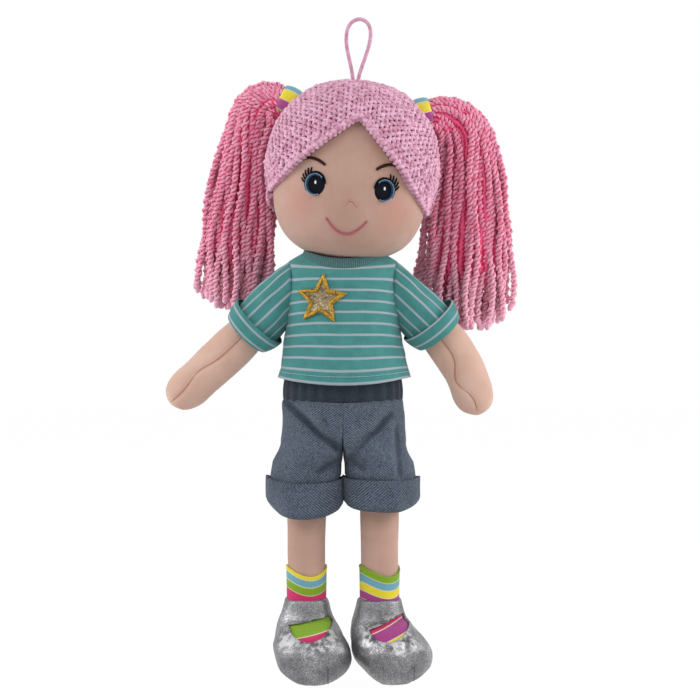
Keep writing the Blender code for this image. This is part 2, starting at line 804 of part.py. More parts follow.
def pigtail_rings(pigtail, grow):
    """Rings along a pigtail from its neck in the tie to its rounded tips."""
    path, total = pigtail_path(pigtail)
    neck = PIGTAIL_NECK_RADIUS + grow
    rings = [[path(-grow)[0]]]
    for distance in (0.0, TIE_LENGTH):
        rings.append(path_ring(path, distance, BACKWARD, neck, neck, LIMB_SIDES))
    for share, fullness in PIGTAIL_SHARES[1:]:
        distance = TIE_LENGTH + share * (total - TIE_LENGTH)
        wide = neck + (pigtail.half_width - PIGTAIL_NECK_RADIUS) * fullness
        deep = neck + (PIGTAIL_HALF_DEPTH - PIGTAIL_NECK_RADIUS) * fullness
        rings.append(path_ring(path, distance, BACKWARD, wide, deep, LIMB_SIDES))
    rings.append([path(total + grow)[0]])
    return rings


def build_pigtails(joints, places, sleeves):
    """Each yarn pigtail and the ribbon tie round its neck."""
    for pigtail in PIGTAILS:
        joint = joints["pigtail_" + pigtail.name]
        base = places["pigtail_" + pigtail.name]
        hair = made_object(
            "pigtail_" + pigtail.name, *loft(pigtail_rings(pigtail, 0.0)), "pink_yarn", joint, base
        )
        path, _ = pigtail_path(pigtail)
        walls = []
        for radius in (PIGTAIL_NECK_RADIUS + CLEARANCE + TIE_THICKNESS, PIGTAIL_NECK_RADIUS + CLEARANCE):
            walls.append([
                path_ring(path, distance, BACKWARD, radius, radius, LIMB_SIDES)
                for distance in (CLEARANCE, TIE_LENGTH / 2, TIE_LENGTH)
            ])
        tie = made_object("hair_tie_" + pigtail.name, *sleeve_of(*walls), "ribbon", joint, base)
        around = made_object(
            "inside_tie_" + pigtail.name, *loft(pigtail_rings(pigtail, CLEARANCE)), "fibre", joint, base
        )
        cut(tie, as_cutter(around))
        for step in range(PIGTAIL_CUTS):
            turn = -PIGTAIL_LIMIT * step / (PIGTAIL_CUTS - 1)
            label = "pigtail_" + pigtail.name + "_at_" + str(step)
            swing = empty(label, ORIGIN, joint, (turn, 0, 0))
            cap = head_block("cap_" + label, HAIR_OUTER + CLEARANCE, swing, base)
            cut(hair, cap)
            cut(tie, cap)
        for sleeve in sleeves[pigtail.name]:
            cut(hair, sleeve)


def build_neck(joints, places):
    """The stuffed neck, sewn between the body and the head."""
    neck = made_object("neck", *loft(neck_rings(0.0)), "peach_jersey", joints["neck"], places["neck"])
    cut(neck, head_block("neck_seat", CLEARANCE, joints["head"]))


def neck_rings(grow):
    """Rings down the neck."""
    tall = (NECK_TOP - NECK_FOOT) / 2
    form = Form(Vector((0, 0, NECK_FOOT + tall)), tall, NECK_HALF_WIDTH, NECK_HALF_DEPTH, NECK_SHARES)
    return form_rings(form, grow, LIMB_SIDES)


def shirt_sizes(height, grow):
    """The shirt's half width and half depth at a height, and how near the hem that is."""
    wide, deep = form_sizes(BODY, height)
    near_hem = min(max((SHIRT_TOP - height) / (SHIRT_TOP - SHIRT_HEM_HEIGHT), 0.0), 1.0)
    ease = SHIRT_EASE + SHIRT_HEM_FLARE * near_hem**2 + grow
    return wide + ease, deep + ease, near_hem


def shirt_row(height, grow, angles):
    """Points round the shirt at a height, dipping and rippling towards the hem."""
    wide, deep, near_hem = shirt_sizes(height, grow)
    points = []
    for angle in angles:
        ripple = FOLD_DEPTH * near_hem**2 * math.cos(FOLDS * angle)
        drop = SHIRT_HEM_DIP * near_hem**3 * math.sin(angle) ** 2
        across = (wide + ripple) * math.cos(angle)
        points.append(Vector((across, (deep + ripple) * math.sin(angle), height - drop)))
    return points


def shirt_block(name, joint, base):
    """The shirt's outer form as a cutter."""
    angles = [math.tau * step / CLOTH_SIDES for step in range(CLOTH_SIDES)]
    heights = heights_between(BODY, SHIRT_HEM_HEIGHT, SHIRT_TOP)
    rings = [shirt_row(height, JERSEY_THICKNESS + CLEARANCE, angles) for height in heights]
    top = Vector((0, 0, heights[0] + CLEARANCE))
    bottom = Vector((0, 0, heights[-1] - CLEARANCE))
    return as_cutter(made_object(name, *loft([[top]] + rings + [[bottom]]), "fibre", joint, base))


def build_body(joints, places, cutters):
    """The stuffed body: its casing, open at the neck, and the fibre in it."""
    joint, base = joints["neck"], places["neck"]
    outer = form_rings(BODY, 0.0, BODY_SIDES, top_share=BODY_MOUTH_SHARE)
    inner = form_rings(BODY, -SKIN_THICKNESS, BODY_SIDES, top_share=BODY_MOUTH_SHARE)
    skin = made_object("torso_skin", *loft(outer[::-1] + inner), "peach_jersey", joint, base)
    filling = form_rings(BODY, -SKIN_THICKNESS - CLEARANCE, FILLING_SIDES)
    stuffing = made_object("torso_stuffing", *loft(filling), "fibre", joint, base)
    seats = []
    for name, _ in SIDES:
        shoulder, place = joints["shoulder_" + name], places["shoulder_" + name]
        seats.append(ball("shoulder_seat_" + name, place, SHOULDER_SEAT_RADIUS, shoulder, place))
    for piece in (skin, stuffing):
        for cutter in cutters + seats:
            cut(piece, cutter)


def armhole(name, side, joint, base):
    """The round opening in a side of the shirt that an arm swings in."""
    rings = []
    for reach in (SHOULDER_REACH - ARMHOLE_INSET, SHOULDER_REACH + OVERRUN):
        centre = Vector((side * reach, 0, SHOULDER_HEIGHT))
        rings.append(oval(centre, DOWN, BACKWARD, ARMHOLE_RADIUS, ARMHOLE_RADIUS, LIMB_SIDES))
    return as_cutter(made_object(name, *prism(*rings), "fibre", joint, base))


def build_shirt(joints, places, cutters):
    """The T-shirt's front and back, and the ribbed neckband."""
    joint, base = joints["neck"], places["neck"]
    heights = heights_between(BODY, SHIRT_HEM_HEIGHT, SHIRT_TOP)
    half = CLOTH_SIDES // 2
    armholes = [armhole("armhole_" + name, side, joint, base) for name, side in SIDES]
    for name, start, shift in (("front", math.pi, -CLEARANCE / 2), ("back", 0.0, CLEARANCE / 2)):
        angles = [start + math.pi * step / half for step in range(half + 1)]
        walls = []
        for grow in (JERSEY_THICKNESS, 0.0):
            walls.append([
                [point + BACKWARD * shift for point in shirt_row(height, grow, angles)]
                for height in heights
            ])
        panel = made_object("shirt_" + name, *plate_of(*walls), "teal_jersey", joint, base)
        for cutter in cutters + armholes:
            cut(panel, cutter)
    walls = []
    for grow in (0.0, -JERSEY_THICKNESS):
        walls.append([
            oval(
                Vector((0, 0, height)), ACROSS, BACKWARD,
                NECKBAND_HALF_WIDTH + grow, NECKBAND_HALF_DEPTH + grow, CLOTH_SIDES,
            )
            for height in (NECKBAND_BASE + NECKBAND_HEIGHT, NECKBAND_BASE)
        ])
    band = made_object("neckband", *sleeve_of(*walls), "pale_rib", joint, base)
    cut(band, head_block("neckband_seat", CLEARANCE, joints["head"]))
    cut(band, shirt_block("under_neckband", joint, base))


def arm_path(arm, inset):
    """The path of an arm's middle from a little inside its joint, and its whole length."""
    def heading_at(share):
        along = max(share * arm.length - inset, 0.0) / arm.length
        angle = arm.upper_angle + (arm.lower_angle - arm.upper_angle) * along**ARM_BEND_SHARE
        return ACROSS * (arm.side * math.sin(angle)) + DOWN * math.cos(angle)

    shoulder = Vector((arm.side * SHOULDER_REACH, 0, SHOULDER_HEIGHT))
    return curved_path(shoulder - heading_at(0.0) * inset, heading_at, arm.length)


def arm_normal(_):
    """The line that an arm's depth is measured along, at every distance."""
    return BACKWARD


def sleeve_rings(arm, grow, low_share, high_share):
    """Rings along a sleeve between two shares of its length, from an upright seam to round the arm."""
    seam = Vector((arm.side * SLEEVE_SEAM_REACH, 0, SLEEVE_SEAM_HEIGHT))
    seam_ring = oval(
        seam, DOWN * arm.side, BACKWARD,
        SLEEVE_SEAM_HALF_HEIGHT + grow, SLEEVE_SEAM_HALF_DEPTH + grow, CLOTH_SIDES,
    )
    path = arm_path(arm, 0.0)
    wide, deep = SLEEVE_HALF_WIDTH + grow, SLEEVE_HALF_DEPTH + grow
    open_ring = path_ring(path, SLEEVE_LENGTH, BACKWARD, wide, deep, CLOTH_SIDES)
    rings = []
    for step in range(SLEEVE_STATIONS):
        share = low_share + (high_share - low_share) * step / (SLEEVE_STATIONS - 1)
        rings.append([near.lerp(far, share) for near, far in zip(seam_ring, open_ring)])
    return rings


def sleeve_cutters(arm, joints, places):
    """A sleeve with its cuff, at rest, nodding back and swung back, as blocks that its pigtail keeps off."""
    neck, shoulder = joints["neck"], joints["shoulder_" + arm.name]
    rings = sleeve_rings(arm, 2 * CLEARANCE + CUFF_EASE + CUFF_THICKNESS + CLEARANCE, 0.0, 1.0)
    cutters = []
    for label, joint, base, turn in (
        ("rest", neck, places["neck"], 0.0),
        ("nod", neck, places["neck"], NOD_BACK),
        ("back", shoulder, places["shoulder_" + arm.name], ARM_BACK_LIMIT),
    ):
        name = "sleeve_" + arm.name + "_at_" + label
        swing = empty(name, ORIGIN, joint, (turn, 0, 0))
        cutters.append(as_cutter(made_object("block_" + name, *capped(rings), "fibre", swing, base)))
    return cutters


def capped(rings):
    """A closed body through rings, with a pole in the middle of both ends."""
    ends = []
    for ring in (rings[0], rings[-1]):
        ends.append([sum(ring, Vector()) / len(ring)])
    return loft([ends[0]] + rings + [ends[1]])


def build_arms(joints, places):
    """Each stuffed arm, with its sleeve and turned-up cuff."""
    body, body_base = joints["neck"], places["neck"]
    for arm in ARMS:
        joint, base = joints["shoulder_" + arm.name], places["shoulder_" + arm.name]
        path = arm_path(arm, ARM_TOP_RADIUS)
        size = (ARM_HALF_WIDTH, ARM_HALF_DEPTH)

        def rings(grow, from_share, sides=LIMB_SIDES):
            return limb_rings(path, arm.length, arm_normal, ARM_SHARES, size, grow, sides, from_share)

        skin = rings(0.0, ARM_MOUTH_SHARE)[::-1] + rings(-SKIN_THICKNESS, ARM_MOUTH_SHARE)
        made_object("arm_skin_" + arm.name, *loft(skin), "peach_jersey", joint, base)
        filling = rings(-SKIN_THICKNESS - CLEARANCE, 0.0, LIMB_FILLING_SIDES)
        made_object("arm_stuffing_" + arm.name, *loft(filling), "fibre", joint, base)

        sleeve = made_object(
            "sleeve_" + arm.name,
            *sleeve_of(
                sleeve_rings(arm, 0.0, 0.0, 1.0), sleeve_rings(arm, -JERSEY_THICKNESS, 0.0, 1.0)
            ),
            "teal_jersey",
            body,
            body_base,
        )
        cut(sleeve, shirt_block("beside_sleeve_" + arm.name, body, body_base))
        low_share = 1 - CUFF_LENGTH / SLEEVE_LENGTH
        cuff_walls = []
        for grow in (CLEARANCE + CUFF_EASE + CUFF_THICKNESS, CLEARANCE):
            cuff_walls.append(sleeve_rings(arm, grow, low_share, 1.0))
        cuff = made_object(
            "sleeve_cuff_" + arm.name, *sleeve_of(*cuff_walls), "teal_jersey", joint, base
        )
        cut(cuff, shirt_block("beside_cuff_" + arm.name, body, body_base))


def leg_path(leg):
    """The path of a leg's middle: straight down, round the ankle and along the foot."""
    forward = Vector((math.sin(leg.foot_yaw), -math.cos(leg.foot_yaw), 0))
    bend = math.pi / 2 - FOOT_DROOP

    def heading_at(share):
        distance = share * LEG_TOTAL_LENGTH - LEG_LENGTH
        angle = min(max(distance / ANKLE_BEND_RADIUS, 0.0), bend)
        return DOWN * math.cos(angle) + forward * math.sin(angle)

    top = Vector((leg.side * HIP_SPREAD, 0, HIP_HEIGHT + HIP_SEAM_RADIUS))
    return curved_path(top, heading_at, LEG_TOTAL_LENGTH)


def leg_normal(leg, distance):
    """The line across a leg at a distance along it, which turns with the foot from the hip to the ankle."""
    turn = leg.foot_yaw * min(max(distance / LEG_LENGTH, 0.0), 1.0)
    return Vector((math.cos(turn), math.sin(turn), 0))


def leg_rings(leg, grow, from_share, sides=LIMB_SIDES):
    """Rings along a leg's form."""
    path = leg_path(leg)
    shares = [(share, deep, wide) for share, wide, deep in LEG_SHARES]
    size = (LEG_HALF_WIDTH, LEG_HALF_WIDTH)

    def normal_at(distance):
        return leg_normal(leg, distance)

    return limb_rings(path, LEG_TOTAL_LENGTH, normal_at, shares, size, grow, sides, from_share)


def shoe_rings(leg, from_share, grow=0.0):
    """Rings along the outside of a padded shoe, from its top edge to the toe."""
    path = leg_path(leg)
    start = from_share * LEG_TOTAL_LENGTH
    reach = LEG_TOTAL_LENGTH + TOE_ROOM - start
    inside = CLEARANCE + SOCK_THICKNESS + CLEARANCE + SHOE_WALL + grow
    rows = [(from_share, *read_table(LEG_SHARES, from_share))]
    rows += [row for row in LEG_SHARES if row[0] > from_share]
    rings = []
    for share, wide_share, deep_share in rows:
        part = (share - from_share) / (1 - from_share)
        if wide_share == 0:
            rings.append([path(start + reach + grow)[0]])
        else:
            (puff,) = read_table(SHOE_SHARES, part)
            wide = wide_share * LEG_HALF_WIDTH + inside + puff * SHOE_PUFF_WIDTH
            deep = deep_share * LEG_HALF_WIDTH + inside + puff * SHOE_PUFF_DEPTH
            distance = start + reach * part
            rings.append(path_ring(path, distance, leg_normal(leg, distance), deep, wide, LIMB_SIDES))
    return rings


def cutout_cutter(leg, joint, base):
    """A half-moon that runs through the front of a shoe and shows the sock."""
    path = leg_path(leg)
    middle = path(LEG_LENGTH + ANKLE_BEND_RADIUS * (math.pi / 2 - FOOT_DROOP))[0]
    centre = Vector((middle.x, middle.y, HIP_HEIGHT + HIP_SEAM_RADIUS - LEG_LENGTH - CUTOUT_DROP))
    along = ACROSS * math.cos(leg.cutout_roll) - DOWN * math.sin(leg.cutout_roll)
    below = DOWN * math.cos(leg.cutout_roll) + ACROSS * math.sin(leg.cutout_roll)
    outline = []
    for step in range(CUTOUT_STEPS + 1):
        angle = math.pi * step / CUTOUT_STEPS
        reach = along * (CUTOUT_WIDTH / 2 * math.cos(angle))
        outline.append(centre + reach + below * (CUTOUT_HEIGHT * math.sin(angle)))
    front = [point - BACKWARD * (FOOT_LENGTH + TOE_ROOM + OVERRUN) for point in outline]
    name = "cutout_" + leg.name
    return as_cutter(made_object(name, *prism(front, outline), "fibre", joint, base))


def build_legs(joints, places):
    """Each stuffed leg, with its sock, padded shoe and sole."""
    for leg in LEGS:
        joint, base = joints["hip_" + leg.name], places["hip_" + leg.name]
        skin = leg_rings(leg, 0.0, 0.0)[::-1] + leg_rings(leg, -SKIN_THICKNESS, 0.0)
        made_object("leg_skin_" + leg.name, *loft(skin), "peach_jersey", joint, base)
        filling = leg_rings(leg, -SKIN_THICKNESS - CLEARANCE, 0.0, LIMB_FILLING_SIDES)
        made_object("leg_stuffing_" + leg.name, *capped_start(filling), "fibre", joint, base)

        sock_share = (LEG_LENGTH - SOCK_RISE) / LEG_TOTAL_LENGTH
        sock = leg_rings(leg, CLEARANCE + SOCK_THICKNESS, sock_share)[::-1]
        sock += leg_rings(leg, CLEARANCE, sock_share)
        made_object("sock_" + leg.name, *loft(sock), "striped_knit", joint, base)

        shoe_share = (LEG_LENGTH - SHOE_RISE) / LEG_TOTAL_LENGTH
        lining = CLEARANCE + SOCK_THICKNESS + CLEARANCE
        upper_rings = shoe_rings(leg, shoe_share)[::-1] + leg_rings(leg, lining, shoe_share)
        upper = made_object("shoe_upper_" + leg.name, *loft(upper_rings), "silver_cloth", joint, base)
        sole = made_object(
            "shoe_sole_" + leg.name, *capped_start(shoe_rings(leg, shoe_share)), "sole_cloth", joint, base
        )
        toe, heading = leg_path(leg)(LEG_TOTAL_LENGTH)
        normal = leg_normal(leg, LEG_TOTAL_LENGTH)
        axes = (normal, heading, heading.cross(normal))
        drop = LEG_HALF_WIDTH + lining + SHOE_FLOOR
        far = FOOT_LENGTH + TOE_ROOM + LEG_HALF_WIDTH + OVERRUN
        low = (-far, -far, -far)
        under = block("under_shoe_" + leg.name, toe, axes, low, (far, far, -drop), joint, base)
        cut(upper, under)
        slab_low = (-far, -far, -drop - CLEARANCE - SOLE_THICKNESS)
        slab_high = (far, far, -drop - CLEARANCE)
        slab = block("sole_slab_" + leg.name, toe, axes, slab_low, slab_high, joint, base)
        cut(sole, slab, "INTERSECT")
        cut(upper, cutout_cutter(leg, joint, base))


def capped_start(rings):
    """A closed body through rings whose last ring is already a pole."""
    middle = sum(rings[0], Vector()) / len(rings[0])
    return loft([[middle]] + rings)


def seat_and_leg_ring(leg, height, grow, part, bounds):
    """A ring round one half of the shorts: from the seat's D shape, at part 0, to a round leg, at part 1.

    The bounds are how near the doll's middle the seat, the crotch and the tucked-in leg may reach.
    """
    turn_share = read_table(SHORTS_SHARES, part)[0]
    seat_bound, crotch_bound, leg_bound = bounds
    closing = min(part / CROTCH_SHARE, 1.0)
    tuck = min(max(1 - (TURNUP_START - part) / (TURNUP_START * TUCK_SHARE), 0.0), 1.0)
    seat_bound += (crotch_bound - seat_bound) * closing
    bound = seat_bound + (leg_bound - seat_bound) * tuck
    lean = min(part / SHORTS_WIDEST_SHARE, 1.0)
    waist_wide = WAIST_HALF_WIDTH + (SHORTS_HALF_WIDTH - WAIST_HALF_WIDTH) * lean
    waist_deep = WAIST_HALF_DEPTH + (SHORTS_HALF_DEPTH - WAIST_HALF_DEPTH) * lean
    outer_steps = round(CLOTH_SIDES * SEAT_ARC_SHARE)
    inner_steps = CLOTH_SIDES - outer_steps
    points = []
    for step in range(CLOTH_SIDES):
        if step <= outer_steps:
            along = step / outer_steps
            seat_angle = math.pi * (along - HALF_SHARE)
            leg_angle = math.tau * LEG_ARC_SHARE * (along - HALF_SHARE)
            seat_x = (waist_wide + grow) * math.cos(seat_angle)
            seat_y = (waist_deep + grow) * math.sin(seat_angle)
            seat_x = max(seat_x, seat_bound)
        else:
            along = (step - outer_steps) / inner_steps
            leg_angle = math.pi * LEG_ARC_SHARE + math.tau * (1 - LEG_ARC_SHARE) * along
            seat_x = seat_bound
            seat_y = (waist_deep + grow) * (1 - 2 * along)
        ripple = FOLD_DEPTH * part * math.cos(FOLDS * leg_angle)
        half_wide = SHORTS_LEG_HALF_WIDTH if math.cos(leg_angle) > 0 else SHORTS_SPREAD
        leg_x = SHORTS_SPREAD + (half_wide + ripple + grow) * math.cos(leg_angle)
        leg_y = (SHORTS_LEG_HALF_DEPTH + ripple + grow) * math.sin(leg_angle)
        drop = leg.hem_dip * part**3 * math.sin(leg_angle) ** 2
        x = max(seat_x + (leg_x - seat_x) * turn_share, bound)
        y = seat_y + (leg_y - seat_y) * turn_share
        points.append(Vector((leg.side * x, y, height - drop)))
    return points


def shorts_rings(leg, grow, bounds, turnup_only=False):
    """Rings down one half of the shorts, or down its turn-up only, to the hem."""
    parts = [TURNUP_START * station / (SHORTS_STATIONS - 1) for station in range(SHORTS_STATIONS)]
    below = (1 - TURNUP_START) / (TURNUP_STATIONS - 1)
    parts += [TURNUP_START + below * station for station in range(1, TURNUP_STATIONS)]
    if turnup_only:
        parts = parts[-TURNUP_STATIONS:]
    rings = []
    for part in parts:
        height = SHORTS_TOP + (SHORTS_HEM_HEIGHT - SHORTS_TOP) * part
        rings.append(seat_and_leg_ring(leg, height, grow, part, bounds))
    return rings


def build_shorts(joints, places):
    """The denim shorts: waistband with its elastic, two halves sewn at the middle, and two turn-ups."""
    joint, base = joints["neck"], places["neck"]
    foot = WAIST_TOP - WAISTBAND_HEIGHT
    band_rows = heights_between(BODY, foot, WAIST_TOP)
    elastic_rows = heights_between(BODY, foot + ELASTIC_MARGIN, WAIST_TOP - ELASTIC_MARGIN)
    for name, rows, inner, thickness, finish in (
        ("shorts_waistband", band_rows, WAIST_INNER, DENIM_THICKNESS, "denim"),
        ("waist_elastic", elastic_rows, CLEARANCE, ELASTIC_THICKNESS, "elastic"),
    ):
        walls = []
        for grow in (inner + thickness, inner):
            walls.append([
                oval(
                    Vector((0, 0, height)), ACROSS, BACKWARD,
                    form_sizes(BODY, height)[0] + grow, form_sizes(BODY, height)[1] + grow, CLOTH_SIDES,
                )
                for height in rows
            ])
        made_object(name, *sleeve_of(*walls), finish, joint, base)

    body_room = as_cutter(made_object(
        "body_room", *loft(form_rings(BODY, CLEARANCE, BODY_SIDES)), "fibre", joint, base
    ))
    middle = CLEARANCE / 2
    turnup_inside = middle + TURNUP_THICKNESS + TURNUP_EASE
    leg_outside = turnup_inside + CLEARANCE
    for leg in LEGS:
        outer = shorts_rings(leg, 0.0, (middle, middle, leg_outside))
        half = made_object("shorts_" + leg.name, *capped(outer), "denim", joint, base)
        bounds = (-SEAT_OPENING, middle + DENIM_THICKNESS, leg_outside + DENIM_THICKNESS)
        cavity_rings = shorts_rings(leg, -DENIM_THICKNESS, bounds)
        first = [point - DOWN * OVERRUN for point in cavity_rings[0]]
        last = [point + DOWN * OVERRUN for point in cavity_rings[-1]]
        cavity = made_object(
            "cavity_" + leg.name, *capped([first] + cavity_rings + [last]), "fibre", joint, base
        )
        cut(half, as_cutter(cavity))
        cut(half, body_room)
        walls = [
            shorts_rings(leg, grow, (bound, bound, bound), turnup_only=True)
            for grow, bound in (
                (CLEARANCE + TURNUP_EASE + TURNUP_THICKNESS, middle),
                (CLEARANCE, turnup_inside),
            )
        ]
        made_object("turnup_" + leg.name, *sleeve_of(*walls), "pale_denim", joint, base)


def head_front(across, up, lift):
    """A point on the face, so far off the head's form."""
    wide, deep = form_sizes(HEAD, up, lift)
    side = min(max((across - HEAD_OFFSET) / wide, -1.0), 1.0)
    return Vector((across, -deep * math.sqrt(1 - side**2), up))


def shirt_front(across, up, lift):
    """A point on the front of the shirt, so far off the cloth."""
    wide, deep, _ = shirt_sizes(up, JERSEY_THICKNESS + lift)
    side = min(max(across / wide, -1.0), 1.0)
    return Vector((across, -CLEARANCE / 2 - deep * math.sqrt(1 - side**2), up))


def strip(name, pairs, surface, finish, joint, base, lift=CLEARANCE, closed=False):
    """A raised line of stitches on a surface, through pairs of points on its two edges."""
    high = lift + EMBROIDERY_THICKNESS
    rings = []
    for (first_x, first_z), (second_x, second_z) in pairs:
        rings.append([
            surface(first_x, first_z, lift),
            surface(first_x, first_z, high),
            surface(second_x, second_z, high),
            surface(second_x, second_z, lift),
        ])
    points, faces = loft(rings)
    last = len(points) - 4
    if closed:
        for side in range(4):
            after = (side + 1) % 4
            faces.append((last + side, side, after, last + after))
    else:
        faces.extend(((0, 1, 2, 3), (last, last + 1, last + 2, last + 3)))
    return made_object(name, points, faces, finish, joint, base)


def patch(name, outline, surface, finish, joint, base, lift=CLEARANCE):
    """A raised patch of stitches that fills an outline."""
    high = lift + EMBROIDERY_THICKNESS
    middle_x = sum(point[0] for point in outline) / len(outline)
    middle_z = sum(point[1] for point in outline) / len(outline)

    def ring(share, height):
        return [
            surface(middle_x + (x - middle_x) * share, middle_z + (z - middle_z) * share, height)
            for x, z in outline
        ]

    rings = [[surface(middle_x, middle_z, high)], ring(HALF_SHARE, high), ring(1.0, high)]
    rings += [ring(1.0, lift), ring(HALF_SHARE, lift), [surface(middle_x, middle_z, lift)]]
    return made_object(name, *loft(rings), finish, joint, base)


def arc_pairs(middle, lift, half_length, arch, width):
    """Pairs of points along an arc of stitches; a positive arch rises in the middle."""
    pairs = []
    for station in range(EMBROIDERY_STATIONS + 1):
        along = 2 * station / EMBROIDERY_STATIONS - 1
        x = middle + half_length * along
        z = lift + arch * (1 - along**2)
        thick = width * (1 - TIP_SHARE * along**2) / 2
        slope = math.atan(-2 * arch * along / half_length)
        shift = (-math.sin(slope) * thick, math.cos(slope) * thick)
        pairs.append(((x + shift[0], z + shift[1]), (x - shift[0], z - shift[1])))
    return pairs


def eye_point(side, angle, share):
    """A place on an eye: its angle from straight up, outwards, and its share of the way to the rim."""
    x = side * (EYE_SPREAD + EYE_HALF_WIDTH * share * math.sin(angle))
    return x, EYE_LIFT + EYE_HALF_HEIGHT * share * math.cos(angle)


def build_eye(name, side, joint):
    """One embroidered eye: black ground, blue crescent, white glint and lashes."""
    outline = [eye_point(side, math.tau * step / EYE_SIDES, 1.0) for step in range(EYE_SIDES)]
    patch("eye_black_" + name, outline, head_front, "black_thread", joint, ORIGIN)
    raised = CLEARANCE + EMBROIDERY_THICKNESS + CLEARANCE
    pairs = []
    for station in range(EMBROIDERY_STATIONS + 1):
        along = 2 * station / EMBROIDERY_STATIONS - 1
        angle = CRESCENT_MIDDLE + CRESCENT_REACH * along
        inner = CRESCENT_SHARES[0] - (CRESCENT_SHARES[0] - CRESCENT_SHARES[1]) * (1 - TIP_SHARE * along**2)
        pairs.append((eye_point(side, angle, CRESCENT_SHARES[0]), eye_point(side, angle, inner)))
    strip("eye_blue_" + name, pairs, head_front, "blue_thread", joint, ORIGIN, raised)
    glint = []
    for step in range(GLINT_SIDES):
        angle = math.tau * step / GLINT_SIDES
        x, z = eye_point(side, 0.0, 0.0)
        glint.append((x + GLINT_RADIUS * math.cos(angle), z + GLINT_RADIUS * math.sin(angle)))
    patch("eye_glint_" + name, glint, head_front, "white_thread", joint, ORIGIN, raised)
    build_lashes(name, side, joint)


def build_lashes(name, side, joint):
    """The lashes that stand out past an eye's upper outer rim, sewn in one row."""
    pairs = []
    for station in range(2 * LASHES + 1):
        angle = LASH_FIRST + (LASH_LAST - LASH_FIRST) * station / (2 * LASHES)
        root = eye_point(side, angle, LASH_ROOT_SHARE)
        reach = LASH_WIDTH if station % 2 == 0 else LASH_LENGTH
        pairs.append((root, (root[0] + side * math.sin(angle) * reach, root[1] + math.cos(angle) * reach)))
    strip("lashes_" + name, pairs, head_front, "black_thread", joint, ORIGIN)


def build_face(joints):
    """The embroidered face."""
    joint = joints["head"]
    for name, side in SIDES:
        build_eye(name, side, joint)
        brow = arc_pairs(side * BROW_SPREAD, BROW_LIFT, BROW_HALF_LENGTH, BROW_ARCH, BROW_WIDTH)
        strip("brow_" + name, brow, head_front, "brown_thread", joint, ORIGIN)
    nose = arc_pairs(NOSE_OFFSET, NOSE_LIFT, NOSE_HALF_LENGTH, NOSE_ARCH, NOSE_WIDTH)
    strip("nose_stitch", nose, head_front, "pink_thread", joint, ORIGIN)
    mouth = arc_pairs(MOUTH_OFFSET, MOUTH_LIFT, MOUTH_HALF_LENGTH, -MOUTH_ARCH, MOUTH_WIDTH)
    strip("mouth_stitch", mouth, head_front, "pink_thread", joint, ORIGIN)


def star_outline(radius):
    """Points round a five-pointed star, with a point in the middle of each straight edge."""
    corners = []
    for corner in range(STAR_POINTS * 2):
        angle = STAR_TURN + math.pi * corner / STAR_POINTS
        reach = radius if corner % 2 == 0 else radius * STAR_INNER_SHARE
        corners.append((STAR_OFFSET - reach * math.sin(angle), STAR_HEIGHT + reach * math.cos(angle)))
    outline = []
    for here, there in zip(corners, corners[1:] + corners[:1]):
        outline += [here, ((here[0] + there[0]) / 2, (here[1] + there[1]) / 2)]
    return outline


def build_star(joints, places):
    """The star sewn to the shirt: a stitched border round a glitter centre."""
    joint, base = joints["neck"], places["neck"]
    inner_radius = STAR_RADIUS - STAR_BORDER / STAR_INNER_SHARE
    border = zip(star_outline(STAR_RADIUS), star_outline(inner_radius))
    strip("star_border", list(border), shirt_front, "gold_thread", joint, base, STAR_LIFT, closed=True)
    centre = star_outline(inner_radius - CLEARANCE / STAR_INNER_SHARE)
    patch("star_centre", centre, shirt_front, "gold_glitter", joint, base, STAR_LIFT)


def joint_places():
    """Every joint's place in the doll's frame, and the pigtails' in the head's."""
    neck = Vector((0, 0, NECK_HEIGHT))
    crown = HEAD_LIFT + HEAD_HALF_HEIGHT + HAIR_OUTER - LOOP_SINK + CLEARANCE + LOOP_DIAMETER / 2
    tilt = Matrix.Rotation(HEAD_TILT, 3, "Y")
    loop = neck + tilt @ Vector((LOOP_OFFSET, LOOP_BACK, crown))
    places = {
        "hang_point": loop + Vector((LOOP_LEAN, 0, LOOP_HEIGHT - LOOP_DIAMETER / 2)),
        "loop_fold": loop,
        "neck": neck,
    }
    for name, side in SIDES:
        places["shoulder_" + name] = Vector((side * SHOULDER_REACH, 0, SHOULDER_HEIGHT))
        places["hip_" + name] = Vector((side * HIP_SPREAD, 0, HIP_HEIGHT))
        places["pigtail_" + name] = Vector((side * TIE_REACH, TIE_BACK, TIE_LIFT))
    return places


def joint_empties(places):
    """The empties that stand on the joints' axes, in the tree that the joints make."""
    hang = empty("hang_point", -places["hang_point"])
    crown = empty("loop_fold", places["loop_fold"], hang)
    neck_step = places["neck"] - places["loop_fold"]
    head = empty("head_frame", neck_step, crown, (0, HEAD_TILT, 0))
    neck = empty("neck_nod", neck_step, crown)
    joints = {"hang_point": hang, "head": head, "neck": neck}
    for name, _ in SIDES:
        for limb in ("shoulder_", "hip_"):
            place = places[limb + name] - places["neck"]
            joints[limb + name] = empty(limb + name, place, neck)
        tie = "pigtail_" + name
        joints[tie] = empty("pigtail_joint_" + name, places[tie], head)
    return joints


def body_cutters(joints, places):
    """What the body and the shirt leave room for: the nodding head and the neck."""
    cutters = []
    for step in range(NOD_CUTS):
        turn = (NOD_FORWARD + NOD_BACK) * step / (NOD_CUTS - 1) - NOD_BACK
        swing = empty("nod_" + str(step), ORIGIN, joints["head"], (turn, 0, 0))
        cutters.append(head_block("nodding_head_" + str(step), CLEARANCE, swing))
    neck_room = made_object(
        "neck_room", *loft(neck_rings(CLEARANCE)), "fibre", joints["neck"], places["neck"]
    )
    cutters.append(as_cutter(neck_room))
    return cutters


